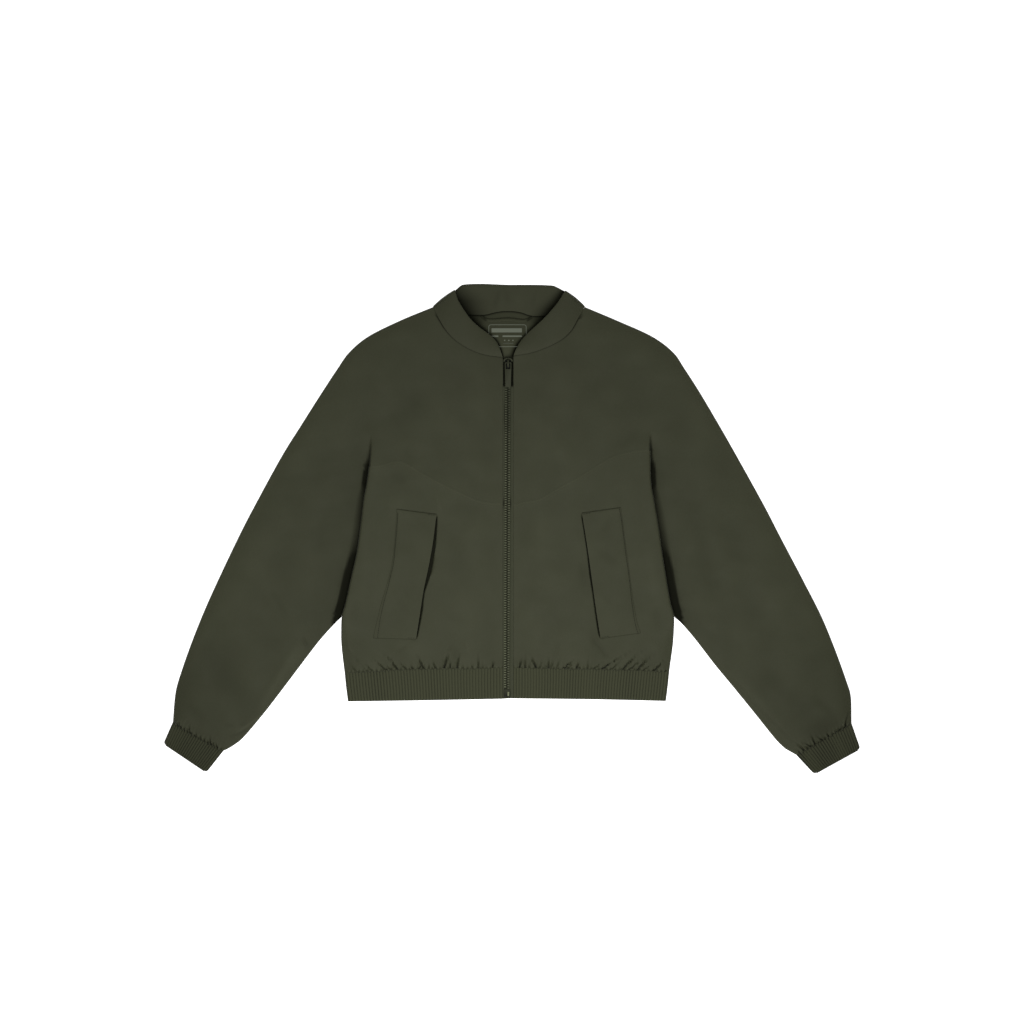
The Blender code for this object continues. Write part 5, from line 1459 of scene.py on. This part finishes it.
def cuff_row(side, face, share, turn):
    """A cuff's row of points at a share of the way from its seam to the wrist."""
    cuff = CUFFS[side.name]
    up = cuff_axes(side)[3]
    start = (1 - share) * np.array(cuff.seam_out, float) + share * np.array(cuff.wrist_out, float)
    end = (1 - share) * np.array(cuff.seam_in, float) + share * np.array(cuff.wrist_in, float)
    way = (end - start) / np.linalg.norm(end - start)
    drop = max((share - 1) * math.dist(cuff.seam_out, cuff.wrist_out) + CUFF_CORNER, 0)
    drawn = CUFF_CORNER - math.sqrt(CUFF_CORNER**2 - drop**2)
    length = np.linalg.norm(end - start) - 2 * drawn
    row = []
    for x, z in cuff_loop(face, length, turn):
        bow = cuff.bow * math.sin(math.pi * np.clip(x / length, 0, 1))
        at = start + (drawn + x) * way - (1 - share) * bow * up
        at = at + RIB_CLOTH / 2 * (share - math.sin(turn)) * up
        row.append((side.sign * at[0], at[1], z))
    return row


def cuff_band(side):
    """A ribbed cuff: a flattened tube, plain underneath."""
    rows = sorted(band_rows(BAND_ROWS) + [(share, 0.0) for share in (0.93, 0.96, 0.985)])
    rings = {face: [cuff_row(side, face, *row) for row in rows] for face in FACES}
    across = cuff_axes(side)[1] * (side.sign, 1)
    places = []
    for face in FACES:
        row = rings[face][0]
        places.append(places_along(row + row[:1], across)[:-1])

    def place(points):
        return cuff_place(side, points[:, :2] * (side.sign, 1))[0] / cuff_axes(side)[2]

    tone = rib_painted_shade(CUFF_HEIGHT, 0.92, CUFF_RIB_DARK[side.name], place)
    return band(f"cloth_cuff_{side.name}", f"cuff_{side.name}", rings, places, True, RIB, tone)


def collar_sections(side):
    """Sections of half the collar, from the zip round the side fold to the middle of the back.

    Each is (seam point, its height, edge point, its height, turn, way). Heights are those of the
    wall's middle. The turn is the angle of the outer face's direction: 90 is up, 0 points along
    the way, which is the flat direction that the fold bulges in, and -90 is down.
    """
    half = COLLAR_CLOTH / 2
    neck = np.vstack([side.neck, side.neck_point])
    edge_rows = [(row.out, getattr(row, side.name)) for row in COLLAR_EDGE]
    edge = curve(edge_rows + [COLLAR_FOLD[side.name]], 2.0)
    seam_at, edge_at = divided(neck, COLLAR_FRONT_STEPS), divided(edge, COLLAR_FRONT_STEPS)
    share = np.linspace(0, 1, COLLAR_FRONT_STEPS + 1)
    seam_z = side.body_level(seam_at) + half
    edge_z = COLLAR_EDGE_LEVEL + COLLAR_EDGE_RISE * smooth((share - 0.1) / 0.65)
    fold = edge_at[-1] - seam_at[-1]
    way = np.array([fold[1], -fold[0]]) / np.linalg.norm(fold)
    sections = [(*ends, 90.0, way) for ends in zip(seam_at[:-1], seam_z, edge_at[:-1], edge_z)]

    radii = ((seam_z[-1] - half) / 2, (edge_z[-1] - half) / 2)
    widths = FOLD_WIDTHS
    centres = (seam_at[-1] - widths[0] * way, edge_at[-1] - widths[1] * way)
    for turn in np.linspace(90, -90, COLLAR_TURN_STEPS + 1):
        angle = math.radians(turn)
        ends = []
        for centre, radius, width in zip(centres, radii, widths):
            ends += [centre + width * math.cos(angle) * way, half + radius * (1 + math.sin(angle))]
        sections.append((*ends, turn, way))
    back_seam = np.vstack([centres[0], seam_line(BACK_NECK, side.name, BACK_STEP)[::-1][1:]])
    back_edge = np.vstack([centres[1], seam_line(COLLAR_BACK, side.name, BACK_STEP)[::-1]])
    behind = zip(divided(back_seam, COLLAR_BACK_STEPS)[1:], divided(back_edge, COLLAR_BACK_STEPS)[1:])
    return sections + [(seam, half, edge, half, -90.0, way) for seam, edge in behind]


SHADES = {  # height up, width of the shade there and its strength
    "left": (
        (246, 2.2, 0.97), (262, 2.4, 0.95), (274, 2.4, 0.85), (282, 2.0, 0.8), (296, 5.0, 0.76),
        (304, 12, 0.76),
        (314, 19, 0.77), (331, 23, 0.75), (343, 20, 0.5), (352, 12, 0.4),
    ),
    "right": (
        (246, 5.2, 0.97), (262, 5.0, 0.95), (274, 3.0, 0.85), (282, 2.0, 0.8), (296, 4.0, 0.76),
        (304, 10, 0.78),
        (320, 12.5, 0.79), (331, 12, 0.77), (343, 8.5, 0.8), (352, 5, 0.6),
    ),
}
COLLAR_PAINTED_CREASES = (  # as folds, but painted creases of light and shade
    (-12, 350, -20, 318, 4, -0.12), (-4, 352, 0, 322, 4, -0.08), (40, 345, 34, 320, 3, -0.08),
    (10, 345, 20, 318, 6, 0.06),
)


COLLAR_PAINTED_LIGHT = 0.08  # painted light on the collar's lying back part


def front_edge_shade(flat):
    """How much a place inside the neck is shaded by the front collar's standing edge."""
    shade = np.zeros(len(flat))
    for name in SIDES:
        ups, widths, strengths = zip(*SHADES[name])
        edge = [(row.out, getattr(row, name)) for row in (NECK[0], *COLLAR_EDGE)]
        line = curve(edge + [COLLAR_FOLD[name]], 3.0)
        near = bell(distance_to(flat, line * (SIDES[name], 1)), np.interp(flat[:, 1], ups, widths))
        shade = np.maximum(shade, np.interp(flat[:, 1], ups, strengths) * near)
    return shade


def collar_painted_shading(points):
    """Painted shadow on the back of the collar beside the front collar's edges, painted upright creases, and
    painted light.
    """
    lying = points[:, 2] < COLLAR_CLOTH + 0.4
    light = COLLAR_PAINTED_LIGHT + folds(points[:, :2], COLLAR_PAINTED_CREASES)
    light -= (1 + COLLAR_PAINTED_LIGHT) * front_edge_shade(points[:, :2])
    return np.clip(1 + lying * light, DARKEST, LIGHTEST)


def collar(sides):
    """The plain band collar: one strip from the zip round the neck to the zip, folded at each side."""
    half = COLLAR_CLOTH / 2
    shares = band_rows(COLLAR_ROWS)
    rings = {face: [[] for _ in shares] for face in FACES}
    left = [(section, -1) for section in collar_sections(sides["left"])]
    right = [(section, 1) for section in collar_sections(sides["right"])][::-1]
    for (seam, seam_z, edge, edge_z, turn, way), sign in left[:-1] + right:
        angle = math.radians(turn)
        out = np.array([*(math.cos(angle) * way), math.sin(angle)])
        run = (edge - seam) / np.linalg.norm(edge - seam)
        for k, (share, bend) in enumerate(shares):
            inner_end = edge - half * run
            flat = (1 - share) * (seam + SEAM_GAP * run) + share * inner_end + half * math.sin(bend) * run
            upward = max(math.sin(angle), 0.0)
            flat = flat + FOLD_BULGE * math.sin(math.pi * share) * max(math.cos(angle), 0.0) * way
            crown = COLLAR_CROWN * math.sin(math.pi * share) ** 0.7 * upward
            middle = np.array([*flat, (1 - share) * seam_z + share * edge_z + crown])
            for face, distance in (("outer", half), ("inner", -half)):
                rings[face][k].append(tuple((middle + distance * math.cos(bend) * out) * (sign, 1, 1)))
    places = np.linspace(0, 1, len(rings["outer"][0]))
    return band("cloth_collar", "collar", rings, (places, places), False, SHELL, collar_painted_shading)


# --- Zip, loop and small things -----------------------------------------------------------------


def ring_faces(low, high, count):
    """Faces between two rings of `count` points that start at the indices low and high."""
    return [(low + k, low + (k + 1) % count, high + (k + 1) % count, high + k) for k in range(count)]


def loft_rings(rings):
    """Points and faces of a closed form through equally long rings of points."""
    n = len(rings[0])
    points = [tuple(p) for ring in rings for p in ring]
    faces = [tuple(range(n)), tuple(range(len(points) - n, len(points)))]
    for base in range(0, len(points) - n, n):
        faces += ring_faces(base, base + n, n)
    return points, faces


def joined(shapes):
    """Several (points, faces) as one."""
    points, faces = [], []
    for more_points, more_faces in shapes:
        faces += [tuple(k + len(points) for k in face) for face in more_faces]
        points += list(more_points)
    return points, faces


def upright(outline, levels):
    """A form over a flat outline: levels are (z, how far the outline is drawn in)."""
    outline = np.array(outline, float)
    middle = outline.mean(axis=0)
    reach = np.linalg.norm(outline - middle, axis=1)[:, None]
    rings = []
    for z, drawn in levels:
        flat = middle + (outline - middle) * (1 - drawn / reach)
        rings.append([(*p, z) for p in flat])
    return loft_rings(rings)


def tube(path, radius, sides=8):
    """A round bar along a path, with round ends."""
    path = np.array(path, float)
    ahead = np.gradient(path, axis=0)
    ahead /= np.linalg.norm(ahead, axis=1)[:, None]
    rings = []
    for p, way in zip(path, ahead):
        across = np.cross(way, (0, 0, 1) if abs(way[2]) < 0.9 else (1, 0, 0))
        across /= np.linalg.norm(across)
        other = np.cross(way, across)
        turns = [2 * math.pi * k / sides for k in range(sides)]
        rings.append([(p + radius * (math.cos(t) * across + math.sin(t) * other)) for t in turns])
    ends = []
    for ring, p, way in ((rings[0], path[0], -ahead[0]), (rings[-1], path[-1], ahead[-1])):
        ends.append([p + 0.55 * (q - p) + 0.7 * radius * way for q in ring])
    return loft_rings([ends[0]] + rings + [ends[1]])


def stitches(line, height, sign, pitch=3.2, share=0.58, radius=0.36):
    """A row of stitches along a flat line, at the height of the cloth below."""
    line = spaced(np.array(line, float), pitch)
    shapes = []
    for a, b in zip(line, line[1:]):
        at = [a + (b - a) * s for s in np.linspace((1 - share) / 2, (1 + share) / 2, 4)]
        z = height(np.array(at))
        rise = (0.0, 0.7 * radius, 0.7 * radius, 0.0)
        shapes.append(tube([(sign * p[0], p[1], q + r) for p, q, r in zip(at, z, rise)], radius, 6))
    return shapes


# Zip sections: out and height of the tape's top, from the chain to under the cloth
TAPE_SECTION = (
    (0.5, 3.1), (3.8, 3.3), (4.5, 4.1), (5.4, 4.6), (6.8, 4.7), (7.0, 4.6), (7.6, 4.3), (7.9, 2.9),
    (14.0, 2.9),
)
TAPE_PAINTED_SHADES = {  # height up, from and to how far out, reach and strength of the painted shade on a tape
    "left": ((165, 3.6, 5.6, 22, 0.45), (37, 4.5, 8.0, 7, 0.55)),
    "right": ((37, 3.6, 5.6, 7, 0.5),),
}
TAPE_PAINTED_SHADOW = {"left": 6.9, "right": 8.5}  # how far out the painted shadow in the gap beside the pull reaches
TAPE_GAP_UP = 205.0  # above this the tape lies deep beside the pull
TAPE_DEEP = 3.0
TAPE_THICK = 1.0
TAPE_LEANS = 7.0  # how far out the tape strays with the chain
TOOTH = (  # out and along
    (4.0, -0.6), (4.0, 0.6), (3.4, 0.88), (1.7, 0.92), (1.1, 0.92), (0.3, 0.55), (0.1, 0.0), (0.3, -0.55),
    (1.1, -0.92), (1.7, -0.92), (3.4, -0.88),
)
TOOTH_PITCH = 3.48
TOOTH_LOW = 3.2
TOOTH_HIGH = 5.2


def zip_lean(up):
    """How far the closed zip strays to the side at each height up."""
    return -ZIP_SHIFT - ZIP_STRAY * np.clip((CHAIN_TOP - np.asarray(up)) / (CHAIN_TOP - ZIP_BOTTOM), 0, 1)


def zip_tapes():
    tapes = {}
    for name, sign in SIDES.items():
        rings = []
        for up in spaced([(0, ZIP_BOTTOM), (0, ZIP_TOP)], 3.0)[:, 1]:
            deep = float(smooth((up - TAPE_GAP_UP) / 6))
            top = []
            for out, z in TAPE_SECTION:
                lean = zip_lean(up) * max(1 - out / TAPE_LEANS, 0)
                top.append((sign * out + lean, up, z - deep * max(z - TAPE_DEEP, 0)))
            low = [(x, y, z - TAPE_THICK) for x, y, z in reversed(top)]
            rings.append(top + low)
        points, faces = loft_rings(rings)
        x, y, _ = np.array(points).T
        flat = np.abs(x - zip_lean(y))
        # Painted shade on the tape under the teeth, in the listed places, and in the gap beside the pull
        tone = 1.1 - 0.5 * smooth((4.0 - flat) / 0.8)
        for up, low, high, reach, dark in TAPE_PAINTED_SHADES[name]:
            tone *= 1 - dark * (flat > low) * (flat < high) * bell(y - up, reach)
        hollow = smooth((y - TAPE_GAP_UP) / 3) * (flat < TAPE_PAINTED_SHADOW[name])
        tone *= 1 - 0.85 * hollow
        made = mesh_object(f"woven_tape_{name}", f"zip_tape_{name}", points, faces, TAPE, tone)
        tapes[f"tape_{name}"] = made
    return tapes


RowPaintedLight = namedtuple("RowPaintedLight", "base gain loss")  # a row's painted highlight, its gain on the way and its loss at the top
TEETH_LEFT = RowPaintedLight(2.5, 0.3, 0.6)
TEETH_RIGHT = RowPaintedLight(2.0, 0.3, 0.7)
TEETH_MEET_PAINTED_SHADE = 0.45  # the share of it that is left where the rows meet, as painted shade


def zip_chain():
    """Two rows of teeth that lock into each other."""
    shapes = []
    for up in np.arange(BOX_TOP + 1.5, CHAIN_TOP - 1, TOOTH_PITCH):
        for sign, shift in ((1, 0.0), (-1, TOOTH_PITCH / 2)):
            outline = [(sign * out + zip_lean(up), up + shift + along) for out, along in TOOTH]
            shapes.append(upright(outline, ((TOOTH_LOW, 0), (TOOTH_HIGH - 0.5, 0), (TOOTH_HIGH, 0.4))))
    points, faces = joined(shapes)
    # Painted light on the teeth: each row lighter in the listed stretches, with painted shade where the rows
    # meet
    place = np.array(points)
    low = smooth((-60 - place[:, 1]) / 100)
    middle = smooth((110 - place[:, 1]) / 40) * smooth((place[:, 1] + 150) / 60)
    top = smooth((place[:, 1] - 130) / 20)
    out = place[:, 0] - zip_lean(place[:, 1])
    ways = ((TEETH_LEFT, low), (TEETH_RIGHT, middle))
    tone = np.where(out < 0, *(row.base + row.gain * gain - row.loss * top for row, gain in ways))
    tone *= TEETH_MEET_PAINTED_SHADE + (1 - TEETH_MEET_PAINTED_SHADE) * smooth((np.abs(out) - 0.6) / 0.8)
    mesh_object("teeth", "zip_chain", points, faces, TEETH, tone, sharp=METAL_SHARP)


def rounded(half_width, low, high, radius, steps=4):
    """A box's outline with round corners."""
    outline = []
    ends = ((half_width, low), (half_width, high), (-half_width, high), (-half_width, low))
    for (x, y), first in zip(ends, (-90, 0, 90, 180)):
        centre = (x - math.copysign(radius, x), y + (radius if y == low else -radius))
        for k in range(steps + 1):
            turn = math.radians(first + 90 * k / steps)
            outline.append((centre[0] + radius * math.cos(turn), centre[1] + radius * math.sin(turn)))
    return outline


BOX_HALF = 4.6
BOX_LEVELS = ((3.2, 0), (5.2, 0), (5.9, 0.35), (6.1, 0.9))  # height and how far in
PIN_HALF = 1.3
PIN_LEVELS = ((5.5, 0), (6.5, 0), (6.8, 0.4))
PIN_OUT = 2.0


def zip_box():
    """The stop that holds the zip's lower end, with a pin beside it."""
    low, high = ZIP_BOTTOM + 0.5, BOX_TOP
    block = upright(rounded(BOX_HALF, low, high, 1.2), BOX_LEVELS)
    pin = upright(rounded(PIN_HALF, low + 1.5, high - 4, 0.5), PIN_LEVELS)
    pin = ([(x + PIN_OUT, y, z) for x, y, z in pin[0]], pin[1])
    points, faces = joined([block, pin])
    points = [(x - ZIP_STRAY, y, z) for x, y, z in points]
    low_down = smooth((low + 3 - np.array(points)[:, 1]) / 2)
    tone = np.where(np.arange(len(points)) < len(block[0]), 0.8 - 0.6 * low_down, 4.2)
    mesh_object("zip_stop", "zip_box", points, faces, METAL, tone, sharp=METAL_SHARP)


METAL_SHARP = 40  # angle of the edges that stay sharp, in degrees
PLATE_TONE = 0.14  # the slider's plates are in the shade, its bail is not
BAIL_TONE = 1.1
SLIDER_HALF = (  # out and up
    (3.3, 230.5), (3.9, 231.6), (4.4, 234), (4.9, 237), (5.3, 240), (5.4, 242.4), (5.1, 244.6), (4.2, 246),
    (2.6, 246.5),
)
BAIL = (  # up and height
    (235.2, 6.0), (235.6, 8.4), (236.8, 10.0), (238.8, 10.9), (240.5, 11.1), (242.2, 10.9), (244.0, 10.0),
    (245.0, 8.4), (245.3, 6.0),
)
BAIL_RADIUS = 1.35
SLIDER_ARC = ((-6.0, 243.4, 5.6), (-4.4, 246.2, 6.0), (0, 247.2, 6.2), (4.4, 246.2, 6.0), (5.8, 243.6, 5.6))
ARC_RADIUS = 1.3


def zip_slider():
    """The slider's two plates and, over them, the bail that carries the pull."""
    outline = [(x, y) for x, y in SLIDER_HALF] + [(-x, y) for x, y in reversed(SLIDER_HALF)]
    body = upright(outline, ((3.2, 0.3), (3.5, 0), (5.5, 0), (6.1, 0.4), (6.3, 1.0)))
    path = curve([(0, up, z) for up, z in BAIL], 0.5)
    arch = tube(path, BAIL_RADIUS, 12)
    shoulder = tube(curve(SLIDER_ARC, 1.0), ARC_RADIUS, 10)
    points, faces = joined([body, arch, shoulder])
    dark = np.arange(len(points)) < len(body[0])
    tone = np.where(dark, PLATE_TONE, BAIL_TONE)
    mesh_object("slider", "zip_slider", points, faces, METAL, tone, sharp=METAL_SHARP)


PULL_TILT = math.radians(3.6)
PULL_ARM = 4.1  # how far out its two arms are
PULL_WIRE = 0.8  # their radius
PULL_HALF = 4.75  # the tab's half width at its top
PULL_TAB = (-35.2, -8.6)  # its lower and upper end
PULL_TAPER = 0.0055  # how much narrower it gets for each millimetre down


def zip_pull():
    """The pull: a cross bar through the slider's bail, two arms and a long tab."""
    cos, sin = math.cos(PULL_TILT), math.sin(PULL_TILT)

    def placed(shape):
        points, faces = shape
        return [(x, PULL_UP + y * cos - z * sin, PULL_HIGH + y * sin + z * cos) for x, y, z in points], faces

    outline = [(x * (1 + PULL_TAPER * (y + 8)), y) for x, y in rounded(PULL_HALF, *PULL_TAB, 1.4)]
    tab = upright(outline, ((-0.85, 0.3), (-0.6, 0), (0.6, 0), (0.85, 0.3)))
    ends = np.linspace(-9.5, 0.2, 8)
    arms = [tube([(x, y, 0) for y in ends], PULL_WIRE, 10) for x in (-PULL_ARM, PULL_ARM)]
    bar = tube([(x, 0.2, 0) for x in np.linspace(-PULL_ARM, PULL_ARM, 8)], PULL_WIRE, 10)
    points, faces = joined([placed(shape) for shape in (tab, *arms, bar)])
    mesh_object("pull_tab", "zip_pull", points, faces, METAL, None, "pull", METAL_SHARP)


LOOP_PATH = ((-39, 308.5), (-33, 304), (-24, 302), (0, 303.5), (21, 301.5), (28, 303), (34, 306.5))


def loop_painted_shade(points):
    """Painted shade at the loop's ends, where they go under the collar."""
    return 1 - 0.55 * smooth((np.abs(points[:, 0] + 2) - 27) / 4)


def hanger_loop():
    """The ribbon loop inside the back neck."""
    path = curve(LOOP_PATH, 1.5)
    low = CLOTH + GAP
    rings = {}
    for face, z in (("outer", low + 1.0), ("inner", low)):
        bow = 1.1 * np.sin(np.linspace(0, math.pi, len(path)))
        rings[face] = []
        for share in (-0.5, -0.4, 0.0, 0.4, 0.5):
            drop = 0.25 if abs(share) == 0.5 and face == "outer" else 0.0
            rings[face].append([(*p, z + b - drop) for p, b in zip(inset(path, share * 4.0), bow)])
    places = np.linspace(0, 1, len(path))
    return band("ribbon_loop", "hanger_loop", rings, (places, places), False, INSIDE, loop_painted_shade)


# The print inside the back neck: a rounded frame with plain bars, as (from, to, up, half height)
Bar = namedtuple("Bar", "start end up half")
PANEL = (-28.4, 26.6, 263.9, 296.5)
BARS = listed(
    Bar,
    (-24, 20, 288.0, 3.0), (-24, -14, 279.5, 1.1), (-8, 20, 279.5, 1.1), (-6, -4, 273.5, 0.8),
    (0, 2, 273.5, 0.8), (6, 8, 273.5, 0.8), (-7, 8, 269.2, 0.35),
)


def neck_print():
    """A generic unlettered panel: a thin rounded frame round plain bars."""
    low, high = CLOTH + 0.02, CLOTH + 0.12
    left, right, bottom, top = PANEL
    centre, half = (left + right) / 2, (right - left) / 2
    shapes = []
    outer = np.array(rounded(half, bottom, top, 3.5)) + (centre, 0)
    inner = np.array(rounded(half - 0.8, bottom + 0.8, top - 0.8, 2.7)) + (centre, 0)
    corners = ((outer, low), (outer, high), (inner, high), (inner, low))
    rings = [[(*p, z) for p in ring] for ring, z in corners]
    n = len(outer)
    points = [p for ring in rings for p in ring]
    faces = []
    for k in range(4):
        faces += ring_faces(k * n, (k + 1) % 4 * n, n)
    shapes.append((points, faces))
    for bar in BARS:
        outline = np.array(rounded((bar.end - bar.start) / 2, bar.up - bar.half, bar.up + bar.half, 0.5))
        shapes.append(upright(outline + ((bar.start + bar.end) / 2, 0), ((low, 0), (high, 0))))
    points, faces = joined(shapes)
    return mesh_object("neck_print", None, points, faces, PRINT)


def sewing(sides):
    """The rows of topstitching on the welts."""
    made = {}
    for name, side in sides.items():
        sign = SIDES[name]

        def height(flat, side=side):
            return front_plain(side, flat) + GAP + 0.3 + WELT_CLOTH

        shapes = stitches(curve(STITCHED[name], 1.0), height, sign)
        for start, end in ((side.opening[0], side.sewn[0]), (side.opening[-1], side.sewn[-1])):
            along = (end - start) / np.linalg.norm(end - start)
            inward = np.array([along[1], -along[0]]) * (1 if end[1] > 0 else -1)
            first = start + 1.5 * along + 1.9 * inward
            shapes += stitches([first, first + 11 * along], height, sign)
        points, faces = joined(shapes)
        made[f"welt_{name}"] = [mesh_object(f"welt_stitches_{name}", None, points, faces, THREAD)]
    return made


# --- Stage --------------------------------------------------------------------------------------


SKY_STRENGTH = 0.184
SOFTBOX_PLACE = (0.0, -0.25, 0.8)
SOFTBOX_SIZE = 0.9
SOFTBOX_POWER = 8.74
LENS = 200.0  # long, as the photo shows hardly any perspective
SENSOR = 36.0
VIEW_WIDTH = 1.4848  # metres of floor across the picture
VIEW_CENTRE = (0.00566, 0.02465)


def stage():
    """A pale floor, soft light from above and a distant camera that looks straight down."""
    scene = bpy.context.scene
    scene.view_settings.view_transform = "Standard"
    floor_mesh = bpy.data.meshes.new("floor")
    corners = [(x, y, -0.0002) for x, y in ((-4, -4), (4, -4), (4, 4), (-4, 4))]
    floor_mesh.from_pydata(corners, [], [(0, 1, 2, 3)])
    n = Nodes("floor_paper")
    paper = n.tint((0.95, 0.95, 0.95), n.spread(n.noise(3.0), 0.995, 1.0))
    floor_mesh.materials.append(n.finish("shell", Base_Color=paper, Roughness=0.9).material)
    n.shader.inputs["Emission Color"].default_value = (1.0, 1.0, 1.0, 1.0)
    n.shader.inputs["Emission Strength"].default_value = 1.0
    floor = bpy.data.objects.new("floor", floor_mesh)
    scene.collection.objects.link(floor)

    world = bpy.data.worlds.new("studio")
    world.use_nodes = True
    world.node_tree.nodes["Background"].inputs["Color"].default_value = (1.0, 1.0, 1.0, 1.0)
    world.node_tree.nodes["Background"].inputs["Strength"].default_value = SKY_STRENGTH
    scene.world = world

    light = bpy.data.lights.new("softbox_top", "AREA")
    light.shape, light.size, light.energy = "SQUARE", SOFTBOX_SIZE, SOFTBOX_POWER
    lamp = bpy.data.objects.new("softbox_top", light)
    lamp.location = SOFTBOX_PLACE
    lamp.rotation_euler = (-Vector(SOFTBOX_PLACE)).to_track_quat("-Z", "Y").to_euler()
    scene.collection.objects.link(lamp)

    camera = bpy.data.cameras.new("camera")
    camera.lens, camera.sensor_width = LENS, SENSOR
    made = bpy.data.objects.new("camera", camera)
    made.location = (*VIEW_CENTRE, VIEW_WIDTH * LENS / SENSOR)
    camera.clip_end = 50.0
    scene.collection.objects.link(made)
    scene.camera = made


Sheet = namedtuple("Sheet", "piece width length area held rests_on")
SHEETS = listed(  # each cloth piece's cut, in metres and square metres
    Sheet,
    ("back", 0.98, 0.65, 0.382, "laid", ()),
    ("upper_left", 0.485, 0.650, 0.1295, "laid", ("cloth_back",)),
    ("upper_right", 0.497, 0.656, 0.1327, "laid", ("cloth_back",)),
    ("lower_left", 0.245, 0.312, 0.0659, "laid", ("cloth_back", "cloth_front_upper_left")),
    ("lower_right", 0.243, 0.328, 0.0685, "laid", ("cloth_back", "cloth_front_upper_right")),
    ("welt_left", 0.064, 0.194, 0.0109, "laid", ("cloth_front_lower_left",)),
    ("welt_right", 0.059, 0.185, 0.0107, "laid", ("cloth_front_lower_right",)),
    ("hem", 0.94, 0.045, 0.0415, "folded", ()), ("cuff_left", 0.165, 0.037, 0.0059, "folded", ()),
    ("cuff_right", 0.18, 0.037, 0.0065, "folded", ()),
    ("collar", 0.43, 0.04, 0.0168, "folded", ("cloth_back",)),
    ("tape_left", 0.015, 0.491, None, "laid", ("cloth_back",)),
    ("tape_right", 0.0172, 0.491, None, "laid", ("cloth_back",)),
)


def main():
    sides = {name: Side(name) for name in SIDES}
    stage()
    made = {"back": back(sides)}
    for name, side in sides.items():
        made[f"upper_{name}"] = upper_front(side)
        made[f"lower_{name}"] = lower_front(side)
        made[f"welt_{name}"] = welt(side)
        made[f"cuff_{name}"] = cuff_band(side)
    made["hem"] = hem_band(sides)
    made["collar"] = collar(sides)
    loop = hanger_loop()
    made |= zip_tapes()
    zip_chain()
    zip_box()
    zip_slider()
    zip_pull()
    extras = sewing(sides)
    extras["back"] = [loop, neck_print()]


main()
